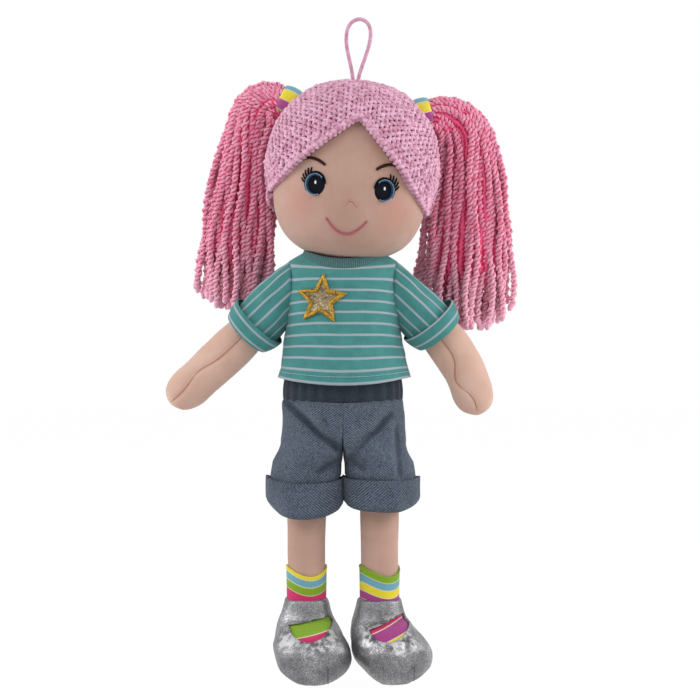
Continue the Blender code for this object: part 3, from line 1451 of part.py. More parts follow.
def build_doll():
    """Build every piece of the doll."""
    clear_scene()
    places = joint_places()
    joints = joint_empties(places)
    build_loop(places, joints)
    build_head(joints)
    build_hair_cap(joints)
    build_face(joints)
    cutters = body_cutters(joints, places)
    build_body(joints, places, cutters)
    build_neck(joints, places)
    build_shirt(joints, places, cutters)
    build_star(joints, places)
    build_arms(joints, places)
    build_pigtails(joints, places, {arm.name: sleeve_cutters(arm, joints, places) for arm in ARMS})
    build_shorts(joints, places)
    build_legs(joints, places)


build_doll()
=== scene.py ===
"""The dressed rag doll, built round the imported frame: yarn, jersey, denim, stitches and glitter cloth.

The doll faces -Y. Lengths are metres. The doll's own frame has its soles at height zero, and the head's
own frame starts at the neck joint and leans with the head; in_doll and in_head turn them into the frame's.
"""

import math
import random

import bmesh
import bpy
import numpy as np
from mathutils import Euler, Matrix, Vector, noise
from mathutils.bvhtree import BVHTree


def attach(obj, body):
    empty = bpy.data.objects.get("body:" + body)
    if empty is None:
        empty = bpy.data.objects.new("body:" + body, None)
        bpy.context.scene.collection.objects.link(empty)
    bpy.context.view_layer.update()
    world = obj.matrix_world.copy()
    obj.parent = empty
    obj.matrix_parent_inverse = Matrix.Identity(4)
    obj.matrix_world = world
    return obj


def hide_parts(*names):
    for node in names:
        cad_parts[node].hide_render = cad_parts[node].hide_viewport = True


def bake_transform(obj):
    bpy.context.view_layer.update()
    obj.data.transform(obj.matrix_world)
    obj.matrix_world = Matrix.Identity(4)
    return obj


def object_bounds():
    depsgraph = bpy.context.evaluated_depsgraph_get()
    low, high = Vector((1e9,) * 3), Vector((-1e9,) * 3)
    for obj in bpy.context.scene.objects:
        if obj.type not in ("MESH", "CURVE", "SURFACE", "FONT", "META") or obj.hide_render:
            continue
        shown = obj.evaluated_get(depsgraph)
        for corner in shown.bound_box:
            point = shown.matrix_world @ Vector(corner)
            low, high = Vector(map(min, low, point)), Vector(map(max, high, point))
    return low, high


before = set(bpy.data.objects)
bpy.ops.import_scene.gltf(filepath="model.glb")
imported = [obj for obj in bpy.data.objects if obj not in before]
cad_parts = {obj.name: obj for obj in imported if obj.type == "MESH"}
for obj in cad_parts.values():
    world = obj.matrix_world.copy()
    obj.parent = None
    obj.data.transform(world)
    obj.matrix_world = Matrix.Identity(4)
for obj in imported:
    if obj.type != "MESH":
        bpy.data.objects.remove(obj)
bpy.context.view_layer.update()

MM = 0.001
HANG_POINT = Vector((0.010924, 0.004, 0.438406))
NECK_PIVOT = Vector((0, 0, 0.288))
HEAD_TILT = math.radians(5.0)
SIDES = (("right", -1), ("left", 1))

# Photograph: its width in pixels, and what the camera sees.
PHOTO_SPAN = 460.6 * MM
CAMERA_PLACE = Vector((4.6 * MM, -1.2, 221.3 * MM))

# Sizes shared with the frame's source.
HEAD_CENTRE = Vector((1.5 * MM, 0, 48 * MM))
HEAD_HALF = (51 * MM, 42 * MM, 56 * MM)
HAIR_DEPTH = 6.8 * MM
PARTING = 3.5 * MM
HAIRLINE_PEAK = 83 * MM
HAIRLINE_ENDS = {-1: 36 * MM, 1: 31.5 * MM}
HAIRLINE_BOW = 1 * MM
NAPE = 12 * MM
LOOP_BASE = Vector((8.224 * MM, 4 * MM, 399.206 * MM))
LOOP_THICKNESS = 2.6 * MM
SHOULDER = (38.5 * MM, 257 * MM)
HIP = (24 * MM, 157 * MM)
HIP_SEAM_TOP = 162.8 * MM
BODY_CENTRE = 221.06 * MM
BODY_HALF = (35 * MM, 25.5 * MM, 57.94 * MM)

# Heights from the top, 1, to the bottom, -1, with the width and the depth there.
HEAD_SHARES = (
    (1.0, 0.0, 0.0), (0.93, 0.41, 0.41), (0.80, 0.64, 0.64), (0.60, 0.85, 0.84), (0.36, 0.96, 0.95),
    (0.10, 1.0, 1.0), (-0.16, 1.0, 1.0), (-0.42, 0.965, 0.97), (-0.62, 0.885, 0.89),
    (-0.78, 0.755, 0.76), (-0.90, 0.56, 0.56), (-0.97, 0.32, 0.34), (-1.0, 0.0, 0.0),
)
BODY_SHARES = (
    (1.0, 0.0, 0.0), (0.985, 0.72, 0.50), (0.94, 0.90, 0.66), (0.84, 0.96, 0.80), (0.60, 1.0, 0.92),
    (0.20, 0.99, 0.98), (-0.15, 1.0, 1.0), (-0.45, 1.03, 0.98), (-0.68, 1.0, 0.84),
    (-0.85, 0.93, 0.60), (-0.96, 0.82, 0.32), (-0.995, 0.78, 0.27), (-1.0, 0.0, 0.0),
)
ARM_SHARES = (
    (0.0, 0.0, 0.0), (0.02, 0.30, 0.30), (0.065, 0.46, 0.48), (0.16, 0.66, 0.72), (0.30, 0.84, 0.90),
    (0.48, 0.97, 1.0), (0.64, 0.96, 0.98), (0.76, 0.93, 0.92), (0.86, 0.93, 0.88), (0.93, 0.78, 0.74),
    (0.975, 0.50, 0.50), (1.0, 0.0, 0.0),
)
LEG_SHARES = (
    (0.0, 0.80, 0.125), (0.012, 0.88, 0.33), (0.05, 1.02, 0.48), (0.14, 1.06, 0.78), (0.26, 1.04, 0.98),
    (0.42, 1.0, 1.0), (0.58, 0.97, 0.98), (0.68, 0.95, 0.96), (0.76, 1.0, 1.0), (0.85, 1.08, 0.98),
    (0.93, 1.02, 0.86), (0.975, 0.72, 0.58), (1.0, 0.0, 0.0),
)
SHOE_SHARES = (
    (0.0, 0.0), (0.15, 0.38), (0.35, 0.85), (0.55, 1.0), (0.80, 1.0), (0.92, 0.70), (1.0, 0.15),
)
PIGTAIL_SHARES = (
    (0.0, 0.0), (0.08, 0.10), (0.16, 0.22), (0.25, 0.40), (0.39, 0.66), (0.60, 0.90), (0.80, 1.0),
    (0.90, 1.0), (1.0, 0.97),
)
SHORTS_SHARES = (
    (0.0, 0.0), (0.25, 0.02), (0.40, 0.07), (0.46, 0.25), (0.58, 0.78), (0.75, 0.95), (1.0, 1.0),
)

# Colours, in linear light.
PEACH = (0.482, 0.309, 0.250)
PEACH_SHADE = (0.428, 0.260, 0.198)
# The arms are the same peach jersey painted lighter: painted light, for the brighter light on them.
ARMS_LIT_PEACH = (0.63, 0.415, 0.335)
ARMS_LIT_DEEP_PEACH = (0.56, 0.355, 0.275)
BLUSH = (0.51, 0.235, 0.19)
YARN_LIGHT = (0.77, 0.45, 0.59)
YARN_DEEP = (0.48, 0.15, 0.25)
STRAND_LIGHT = (0.80, 0.36, 0.50)
STRAND_DEEP = (0.74, 0.13, 0.25)
# Painted light: the lighter colour of the pigtails' low ends.
PAINTED_LIGHT_STRAND_ENDS = (0.95, 0.58, 0.70)
# Painted shade: the deep red of the hollows between the pigtails' plies and strands.
DEEP_RED_PAINTED_SHADE = (0.66, 0.022, 0.10)
TEAL = (0.060, 0.245, 0.235)
PALE_STRIPE = (0.315, 0.37, 0.405)
DENIM_DARK = (0.018, 0.027, 0.041)
DENIM_LIGHT = (0.145, 0.175, 0.225)
GOLD = (0.50, 0.29, 0.012)
SOCK_COLOURS = {
    "yellow": (0.72, 0.60, 0.03),
    "blue": (0.155, 0.355, 0.44),
    "green": (0.205, 0.355, 0.022),
    "pink": (0.55, 0.03, 0.13),
    "purple": (0.35, 0.050, 0.225),
}
THIN_LINE = (0.62, 0.60, 0.40)


def in_doll(point):
    """A point of the doll's frame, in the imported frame."""
    return Vector(point) - HANG_POINT


def in_head(point):
    """A point of the head's frame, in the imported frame."""
    return in_doll(NECK_PIVOT + Matrix.Rotation(HEAD_TILT, 3, "Y") @ Vector(point))


# Materials.


def finish(name, roughness=0.85, metallic=0.0, sheen=0.0, specular=0.3):
    """A new material and its shader, with what is the same all over set on the shader itself."""
    made = bpy.data.materials.new(name)
    made.use_nodes = True
    shader = made.node_tree.nodes["Principled BSDF"]
    shader.inputs["Roughness"].default_value = roughness
    shader.inputs["Metallic"].default_value = metallic
    shader.inputs["Sheen Weight"].default_value = sheen
    shader.inputs["Specular IOR Level"].default_value = specular
    return made, shader


def node(material, kind, inputs=(), **settings):
    """A node with its settings, and its inputs joined or set by name or number."""
    made = material.node_tree.nodes.new("ShaderNode" + kind)
    for key, value in settings.items():
        setattr(made, key, value)
    for key, value in dict(inputs).items():
        socket = made.inputs[key]
        if isinstance(value, bpy.types.NodeSocket):
            material.node_tree.links.new(value, socket)
        elif isinstance(value, tuple) and len(value) == 3 and socket.type == "RGBA":
            socket.default_value = (*value, 1.0)
        else:
            socket.default_value = value
    return made


def place_of(material, turn=(0, 0, 0), source="Object"):
    """A place on the piece, turned for a pattern."""
    coordinates = node(material, "TexCoord")
    mapping = node(material, "Mapping", {"Vector": coordinates.outputs[source]})
    mapping.inputs["Rotation"].default_value = turn
    return mapping.outputs["Vector"]


def mixed(material, factor, first, second, blend="MIX"):
    """A mix of two colours by a factor."""
    made = node(material, "Mix", data_type="RGBA", blend_type=blend)
    for socket, value in ((made.inputs[0], factor), (made.inputs[6], first), (made.inputs[7], second)):
        if isinstance(value, bpy.types.NodeSocket):
            material.node_tree.links.new(value, socket)
        elif isinstance(value, tuple):
            socket.default_value = (*value, 1.0)
        else:
            socket.default_value = value
    return made.outputs[2]


def ramp(material, factor, stops, interpolation="LINEAR"):
    """Colours along a factor."""
    made = node(material, "ValToRGB", {"Fac": factor})
    made.color_ramp.interpolation = interpolation
    elements = made.color_ramp.elements
    while len(elements) < len(stops):
        elements.new(1.0)
    for element, (position, colour) in zip(elements, stops):
        element.position = position
        element.color = (*colour, 1.0)
    return made.outputs["Color"]


def math_node(material, operation, first, second=0.0):
    """The result of one sum."""
    made = node(material, "Math", {0: first, 1: second}, operation=operation)
    return made.outputs[0]


def coloured(material, shader, colour):
    """Join a colour to the shader."""
    material.node_tree.links.new(colour, shader.inputs["Base Color"])


def bumped(material, shader, height, depth, strength=0.6):
    """Join a height to the shader as fine relief."""
    relief = node(material, "Bump", {"Height": height, "Distance": depth, "Strength": strength})
    material.node_tree.links.new(relief.outputs["Normal"], shader.inputs["Normal"])


def fine_noise(material, place, scale, detail=2.0):
    """Noise at a place, from about 0 to 1."""
    return node(material, "TexNoise", {"Vector": place, "Scale": scale, "Detail": detail}).outputs["Fac"]


def waves(material, place, scale, direction="X", distortion=0.0, detail_scale=1.0):
    """Even ridges across a place."""
    made = node(
        material,
        "TexWave",
        {"Vector": place, "Scale": scale, "Distortion": distortion, "Detail Scale": detail_scale},
        wave_type="BANDS",
        bands_direction=direction,
        wave_profile="SIN",
    )
    return made.outputs["Fac"]


# One wave of Blender's wave texture is this long at scale 1.
WAVE_LENGTH = math.pi / 10


def waves_apart(distance):
    """The wave texture's scale for ridges so far apart."""
    return WAVE_LENGTH / distance


def skin_finish(name, cheeks=False, shade=PEACH_SHADE, light=PEACH):
    """Peach brushed jersey: fine ribs, soft nap and, on the face, a blush on each cheek."""
    material, shader = finish(name, 0.9, sheen=0.25, specular=0.15)
    place = place_of(material)
    cloud = fine_noise(material, place, 45.0, 3.0)
    colour = ramp(material, cloud, ((0.3, shade), (0.7, light)))
    if cheeks:
        for side in (-1, 1):
            middle = in_head((side * 34 * MM, -36 * MM, 24 * MM))
            away = node(material, "VectorMath", {0: place, 1: middle}, operation="DISTANCE")
            near = node(
                material,
                "MapRange",
                {"Value": away.outputs["Value"], "From Min": 21 * MM, "From Max": 2 * MM, "To Max": 0.50},
                interpolation_type="SMOOTHSTEP",
            )
            colour = mixed(material, near.outputs["Result"], colour, BLUSH)
    ribs = waves(material, place, waves_apart(0.75 * MM), "X", 1.5, 2.0)
    colour = mixed(material, 0.06, colour, node_colour(material, ribs), "OVERLAY")
    coloured(material, shader, colour)
    nap = fine_noise(material, place, 1900.0, 3.0)
    bumped(material, shader, math_node(material, "ADD", nap, ribs), 0.10 * MM, 0.35)
    return material


def node_colour(material, value):
    """A value as a grey."""
    return ramp(material, value, ((0.0, (0, 0, 0)), (1.0, (1, 1, 1))))


def yarn_finish(name, light, deep, depth_name=None, lit_low_ends=None):
    """Brushed yarn, its tone varying at random between light and deep. Where depth_name is given, painted
    shade in deep red fills the hollows by that attribute; where a colour for the low ends is given, the low
    ends are painted lighter, as painted light.
    """
    material, shader = finish(name, 0.88, sheen=0.45, specular=0.12)
    place = place_of(material)
    cloud = fine_noise(material, place, 260.0, 3.0)
    colour = ramp(material, cloud, ((0.25, deep), (0.62, light)))
    if depth_name:
        # Painted shade: deep red in the hollows between the plies.
        sunk = node(material, "Attribute", attribute_name=depth_name).outputs["Fac"]
        hollow_shade = node(material, "MapRange", {"Value": sunk, "From Min": 0.10, "From Max": 0.50})
        colour = mixed(material, hollow_shade.outputs["Result"], colour, DEEP_RED_PAINTED_SHADE)
    if lit_low_ends:
        # Painted light: lighter towards the low ends of the pigtails.
        height = node(material, "SeparateXYZ", {"Vector": place}).outputs["Z"]
        high, low = in_doll((0, 0, 300 * MM)).z, in_doll((0, 0, 240 * MM)).z
        reach = {"Value": height, "From Min": high, "From Max": low, "To Max": 0.65}
        lower = node(material, "MapRange", reach)
        colour = mixed(material, lower.outputs["Result"], colour, lit_low_ends)
    coloured(material, shader, colour)
    fibres = fine_noise(material, place, 2600.0, 4.0)
    bumped(material, shader, fibres, 0.25 * MM, 0.7)
    return material


def heart_shade_finish():
    """The pigtails' deep pink heart, painted shade for the depths between the strands: columns of hidden
    strands, with painted shade darker in the gaps between them.
    """
    material, shader = finish("pigtail_heart_yarn", 0.9, sheen=0.3, specular=0.1)
    place = place_of(material, source="UV")
    columns = waves(material, place, waves_apart(3.4 * MM), "X", 2.2, 2.0)
    slanted = place_of(material, turn=(0, 0, math.radians(55.0)), source="UV")
    twist = waves(material, slanted, waves_apart(2.4 * MM))
    height = math_node(material, "ADD", math_node(material, "MULTIPLY", columns, 0.7),
                       math_node(material, "MULTIPLY", twist, 0.3))
    # Painted shade: the gaps between the hidden strands are darker.
    gap, strand = (0.42, 0.012, 0.06), (0.86, 0.10, 0.24)
    coloured(material, shader, ramp(material, height, ((0.15, gap), (0.75, strand))))
    bumped(material, shader, height, 1.2 * MM, 0.9)
    return material


def thread_finish(name, colour, second, roughness=0.45, specular=0.35, metallic=0.0, twist_scale=1500.0):
    """Glossy embroidery thread with a fine twist."""
    material, shader = finish(name, roughness, metallic, specular=specular)
    place = place_of(material)
    twist = fine_noise(material, place, twist_scale, 2.0)
    coloured(material, shader, ramp(material, twist, ((0.3, second), (0.65, colour))))
    bumped(material, shader, twist, 0.12 * MM, 0.5)
    return material


def striped_jersey_finish(name, across=False, pitch=7.0 * MM, offset=0.0, hem=None):
    """Teal jersey with thin pale stripes at even steps of the piece's own map, and knit columns."""
    half_stripe, soft_edge = 0.10, 0.025
    material, shader = finish(name, 0.85, sheen=0.15, specular=0.15)
    coordinates = node(material, "TexCoord")
    wobble = fine_noise(material, coordinates.outputs["Object"], 60.0)
    parts = node(material, "SeparateXYZ", {"Vector": coordinates.outputs["UV"]})
    along = parts.outputs["X" if across else "Y"]
    steps = math_node(material, "DIVIDE", math_node(material, "ADD", along, offset), pitch)
    steps = math_node(material, "ADD", steps, math_node(material, "MULTIPLY", wobble, 0.08))
    phase = math_node(material, "FRACT", steps)
    pale = node(
        material,
        "MapRange",
        {
            "Value": math_node(material, "ABSOLUTE", math_node(material, "SUBTRACT", phase, 0.5)),
            "From Min": half_stripe + soft_edge,
            "From Max": half_stripe - soft_edge,
        },
    ).outputs["Result"]
    if hem:
        turned_edge = math_node(material, "MULTIPLY", math_node(material, "GREATER_THAN", along, hem), 0.75)
        pale = math_node(material, "MAXIMUM", pale, turned_edge)
    knit = waves(material, place_of(material, source="UV"), waves_apart(0.85 * MM), "X")
    rows = waves(material, place_of(material, source="UV"), waves_apart(0.7 * MM), "Y")
    ground = ramp(material, knit, ((0.0, tuple(0.82 * c for c in TEAL)), (1.0, TEAL)))
    cloud = fine_noise(material, coordinates.outputs["Object"], 130.0, 3.0)
    ground = mixed(material, 0.25, ground, node_colour(material, cloud), "OVERLAY")
    coloured(material, shader, mixed(material, pale, ground, PALE_STRIPE))
    height = math_node(material, "ADD", knit, math_node(material, "MULTIPLY", rows, 0.6))
    bumped(material, shader, height, 0.12 * MM, 0.5)
    return material


def neckband_shaded_finish():
    """Pale green rib of the neckband, painted darker as shade: columns up and down."""
    material, shader = finish("neckband_rib", 0.85, sheen=0.1, specular=0.15)
    ribs = waves(material, place_of(material, source="UV"), waves_apart(1.3 * MM), "X")
    # Painted shade: both tones are darker than the pale green rib.
    coloured(material, shader, ramp(material, ribs, ((0.0, (0.042, 0.11, 0.11)), (1.0, (0.090, 0.19, 0.19)))))
    bumped(material, shader, ribs, 0.3 * MM, 0.8)
    return material


def denim_finish(name, lean=1.0, tone_and_shade_scale=1.0):
    """Washed denim twill: fine diagonal ridges, slubs, a worn cast, and painted shade darkening its folds."""
    material, shader = finish(name, 0.92, sheen=0.1, specular=0.12)
    turn = (0, 0, lean * math.radians(52.0))
    twill = waves(material, place_of(material, turn=turn, source="UV"), waves_apart(1.35 * MM), "X", 0.4, 3.0)
    weft = waves(material, place_of(material, source="UV"), waves_apart(0.7 * MM), "Y")
    place = place_of(material)
    slub = fine_noise(material, place, 900.0, 3.0)
    worn = fine_noise(material, place, 38.0, 3.0)
    # The light tone is scaled per piece: much darker on the waistband as painted shade, a little darker on
    # the turn-ups.
    light = tuple(tone_and_shade_scale * c for c in DENIM_LIGHT)
    grain = math_node(material, "ADD", math_node(material, "MULTIPLY", twill, 0.34),
                      math_node(material, "MULTIPLY", slub, 0.80))
    colour = ramp(material, grain, ((0.30, DENIM_DARK), (0.82, light)))
    colour = mixed(material, 0.45, colour, node_colour(material, worn), "SOFT_LIGHT")
    # Painted shade: darker deep in the folds.
    sunk = node(material, "Attribute", attribute_name="fold").outputs["Fac"]
    shade = node(material, "MapRange", {"Value": sunk, "From Min": 0.48, "From Max": 1.0, "To Max": 0.75})
    colour = mixed(material, shade.outputs["Result"], colour, (0.022, 0.032, 0.046))
    coloured(material, shader, colour)
    height = math_node(material, "ADD", twill, math_node(material, "MULTIPLY", weft, 0.35))
    bumped(material, shader, height, 0.22 * MM, 0.7)
    return material


def banded_finish(name, bands, length, fine_ribs):
    """A knit with coloured bands along its own map, a thin pale line between each two."""
    material, shader = finish(name, 0.85, sheen=0.15, specular=0.15)
    line = 0.55 * MM
    stops = []
    start = 0.0
    for colour, width in bands:
        stops.append((start / length, SOCK_COLOURS[colour]))
        stops.append(((start + width - line) / length, THIN_LINE))
        start += width
    parts = node(material, "SeparateXYZ", {"Vector": node(material, "TexCoord").outputs["UV"]})
    along = math_node(material, "DIVIDE", parts.outputs["Y"], length)
    colour = ramp(material, along, [stop for stop in stops if stop[0] < 1], "CONSTANT")
    ribs = waves(material, place_of(material, source="UV"), waves_apart(fine_ribs), "X")
    shade = ramp(material, ribs, ((0.0, (0.40, 0.40, 0.40)), (1.0, (0.55, 0.55, 0.55))))
    colour = mixed(material, 0.7, colour, shade, "OVERLAY")
    coloured(material, shader, colour)
    bumped(material, shader, ribs, 0.2 * MM, 0.6)
    return material


def glitter_finish(name, dark, light, grain, roughness=0.38, metallic=0.75, cloudiness=1.0, painted_highlight_places=()):
    """Glitter cloth: flecks, each with its own tone and tilt, with crinkled patches of painted highlight near
    the places given.
    """
    material, shader = finish(name, roughness, metallic=metallic, specular=0.6)
    place = place_of(material)
    flecks = node(material, "TexVoronoi", {"Vector": place, "Scale": 1 / grain})
    tone = node(material, "SeparateColor", {"Color": flecks.outputs["Color"]}).outputs["Red"]
    cloud = fine_noise(material, place, 75.0, 4.0)
    tone = math_node(material, "MULTIPLY", tone, 0.34)
    tone = math_node(material, "ADD", tone, math_node(material, "MULTIPLY", cloud, cloudiness))
    tone = math_node(material, "ADD", tone, 0.54 * (1 - cloudiness) + 0.04)
    # Painted highlight: crinkled brighter patches near each place.
    for spot in painted_highlight_places:
        away = node(material, "VectorMath", {0: place, 1: spot}, operation="DISTANCE")
        reach = {"Value": away.outputs["Value"], "From Min": 15 * MM, "From Max": 6 * MM}
        near = node(material, "MapRange", reach)
        crinkled_highlight = math_node(material, "SUBTRACT", fine_noise(material, place, 210.0, 3.0), 0.42)
        crinkled_highlight = math_node(material, "MULTIPLY", crinkled_highlight, 2.6)
        lift = math_node(material, "MULTIPLY", near.outputs["Result"], crinkled_highlight)
        tone = math_node(material, "ADD", tone, lift)
    middle = tuple(0.62 * a + 0.38 * b for a, b in zip(dark, light))
    coloured(material, shader, ramp(material, tone, ((0.48, dark), (0.82, middle), (1.0, light))))
    tilt = node(material, "SeparateColor", {"Color": flecks.outputs["Color"]}).outputs["Green"]
    bumped(material, shader, math_node(material, "ADD", tilt, cloud), 0.35 * MM, 0.9)
    return material


# Shapes.


def fine_rows(table, steps):
    """A smooth table through the rows of a coarse one; a closed end rounds over."""
    rows = [np.array(row, float) for row in table]

    def beyond(end, near):
        if len(end) > 2 and end[1] == 0:
            return near * np.array([1.0, -1.0, -1.0])
        return 2 * end - near

    rows = [beyond(rows[0], rows[1]), *rows, beyond(rows[-1], rows[-2])]
    fine = []
    for before, here, there, after in zip(rows, rows[1:], rows[2:], rows[3:]):
        for step in range(steps):
            t = step / steps
            fine.append(0.5 * (
                2 * here + (there - before) * t
                + (2 * before - 5 * here + 4 * there - after) * t**2
                + (3 * here - before - 3 * there + after) * t**3
            ))
    fine.append(rows[-2])
    return fine


def read_table(table, share):
    """A table's values at a share, smoothly between its rows."""
    shares = [row[0] for row in table]
    if shares[0] > shares[-1]:
        table, shares = table[::-1], shares[::-1]
    columns = list(zip(*table))[1:]
    return [float(np.interp(share, shares, column)) for column in columns]


def grid_piece(name, rows, material, sizes=None):
    """A mesh through closed rows of points, mapped in metres round and along; a row of like points is a pole.

    sizes, where it is given, holds the distance along for every row instead of the measured one.
    """
    rows = np.array([[tuple(point) for point in row] for row in rows], float)
    count, around = rows.shape[:2]
    steps = np.linalg.norm(np.roll(rows, -1, axis=1) - rows, axis=2)
    round_sums = np.concatenate([np.zeros((count, 1)), np.cumsum(steps, axis=1)], axis=1)
    widest = round_sums[:, -1].max()
    across = np.linspace(0.0, widest, round_sums.shape[1])
    if sizes is None:
        lengths = np.linalg.norm(np.diff(rows, axis=0), axis=2).mean(axis=1)
        sizes = np.concatenate([[0.0], np.cumsum(lengths)])
    same_place = 1e-7
    verts, faces, maps, starts = [], [], [], []
    for row in rows:
        pole = np.ptp(row, axis=0).max() < same_place
        starts.append((len(verts), pole))
        verts.extend([row[0]] if pole else list(row))
    for number in range(count - 1):
        (first, first_pole), (second, second_pole) = starts[number], starts[number + 1]
        for side in range(around):
            after = (side + 1) % around
            low, high = sizes[number], sizes[number + 1]
            corners = [
                (first if first_pole else first + side, (across[side], low)),
                (second if second_pole else second + side, (across[side], high)),
                (second if second_pole else second + after, (across[side + 1], high)),
                (first if first_pole else first + after, (across[side + 1], low)),
            ]
            kept = [corner for index, corner in enumerate(corners) if corner[0] != corners[index - 1][0]]
            if len(kept) > 2:
                faces.append([corner[0] for corner in kept])
                maps.extend(corner[1] for corner in kept)
    mesh = bpy.data.meshes.new(name)
    mesh.from_pydata(verts, [], faces)
    layer = mesh.uv_layers.new(name="map")
    layer.data.foreach_set("uv", np.array(maps, float).ravel())
    made = mesh_object(name, mesh, material)
    faced(mesh)
    mesh.shade_smooth()
    return made


def mesh_object(name, mesh, material):
    """An object of this mesh and material, linked to the scene."""
    made = bpy.data.objects.new(name, mesh)
    bpy.context.scene.collection.objects.link(made)
    mesh.materials.clear()
    mesh.materials.append(material)
    return made


def faced(mesh):
    """Turn a mesh's faces outwards."""
    work = bmesh.new()
    work.from_mesh(mesh)
    bmesh.ops.recalc_face_normals(work, faces=work.faces)
    open_sheet = any(edge.is_boundary for edge in work.edges)
    middle = sum((vertex.co for vertex in work.verts), Vector()) / len(work.verts)
    outward = 0.0
    for face in work.faces:
        arm = face.calc_center_median() - middle
        if open_sheet:
            arm.z *= 0.1
        outward += face.normal.dot(arm) * face.calc_area()
    if outward < 0:
        bmesh.ops.reverse_faces(work, faces=work.faces)
    work.to_mesh(mesh)
    work.free()


def settled(piece):
    """Turn a piece's modifiers into its mesh."""
    bpy.context.view_layer.update()
    made = bpy.data.meshes.new_from_object(piece.evaluated_get(bpy.context.evaluated_depsgraph_get()))
    piece.modifiers.clear()
    piece.data = made
    return piece


def thickened(piece, thickness, offset=-1.0):
    """Give a sheet its thickness."""
    wall = piece.modifiers.new("wall", "SOLIDIFY")
    wall.thickness = thickness
    wall.offset = offset
    return settled(piece)


def smoothed(piece):
    """Round a piece's faces over."""
    rounding = piece.modifiers.new("rounding", "SUBSURF")
    rounding.levels = rounding.render_levels = 1
    return settled(piece)


def worn_by(piece, body, slot, *nodes):
    """A finished piece moves with a body and stands for CAD nodes, which it hides; slot is not used."""
    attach(piece, body)
    if nodes:
        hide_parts(*nodes)
    return piece


def moved(piece, place):
    """Move every point of a piece by a function of its place."""
    coordinates = np.empty(len(piece.data.vertices) * 3)
    piece.data.vertices.foreach_get("co", coordinates)
    coordinates = np.array([place(Vector(point)) for point in coordinates.reshape(-1, 3)])
    piece.data.vertices.foreach_set("co", coordinates.ravel())
    piece.data.update()
    return piece


def ring(centre, across, depthwise, wide, deep, sides, start=0.0):
    """Points on an ellipse."""
    points = []
    for step in range(sides):
        angle = start + math.tau * step / sides
        points.append(centre + across * (wide * math.cos(angle)) + depthwise * (deep * math.sin(angle)))
    return points


def form_rows(centre, half, shares, grow=0.0, sides=64, steps=4):
    """Rows of points down a rounded form."""
    rows = []
    for share, wide, deep in fine_rows(shares, steps):
        middle = centre + Vector((0, 0, share * (half[2] + grow)))
        edge = grow if wide > 0 else 0.0
        start = -math.pi / 2
        wide, deep = max(wide, 0) * half[0] + edge, max(deep, 0) * half[1] + edge
        rows.append(ring(middle, Vector((1, 0, 0)), Vector((0, 1, 0)), wide, deep, sides, start))
    return rows


# Stitches, set out by Geometry Nodes.


def stitch_tree():
    """A node tree that lays one rounded thread on every point, turned and sized by the point's own values."""
    tree = bpy.data.node_groups.new("laid_stitches", "GeometryNodeTree")
    face = tree.interface
    face.new_socket("Geometry", in_out="INPUT", socket_type="NodeSocketGeometry")
    face.new_socket("Thread Thickness", in_out="INPUT", socket_type="NodeSocketFloat")
    face.new_socket("Sides", in_out="INPUT", socket_type="NodeSocketInt")
    face.new_socket("Finish", in_out="INPUT", socket_type="NodeSocketMaterial")
    face.new_socket("Geometry", in_out="OUTPUT", socket_type="NodeSocketGeometry")
    nodes, links = tree.nodes, tree.links
    start, end = nodes.new("NodeGroupInput"), nodes.new("NodeGroupOutput")
    thread = nodes.new("GeometryNodeMeshUVSphere")
    thread.inputs["Rings"].default_value = 4
    links.new(start.outputs["Sides"], thread.inputs["Segments"])
    links.new(start.outputs["Thread Thickness"], thread.inputs["Radius"])
    turn = nodes.new("GeometryNodeInputNamedAttribute")
    turn.data_type = "FLOAT_VECTOR"
    turn.inputs["Name"].default_value = "turn"
    size = nodes.new("GeometryNodeInputNamedAttribute")
    size.data_type = "FLOAT_VECTOR"
    size.inputs["Name"].default_value = "size"
    turned = nodes.new("FunctionNodeEulerToRotation")
    links.new(turn.outputs["Attribute"], turned.inputs[0])
    laid = nodes.new("GeometryNodeInstanceOnPoints")
    links.new(start.outputs["Geometry"], laid.inputs["Points"])
    links.new(thread.outputs["Mesh"], laid.inputs["Instance"])
    links.new(turned.outputs[0], laid.inputs["Rotation"])
    links.new(size.outputs["Attribute"], laid.inputs["Scale"])
    real = nodes.new("GeometryNodeRealizeInstances")
    links.new(laid.outputs["Instances"], real.inputs["Geometry"])
    smooth = nodes.new("GeometryNodeSetShadeSmooth")
    links.new(real.outputs["Geometry"], smooth.inputs["Geometry"])
    dressed = nodes.new("GeometryNodeSetMaterial")
    links.new(smooth.outputs["Geometry"], dressed.inputs["Geometry"])
    links.new(start.outputs["Finish"], dressed.inputs["Material"])
    links.new(dressed.outputs["Geometry"], end.inputs["Geometry"])
    return tree


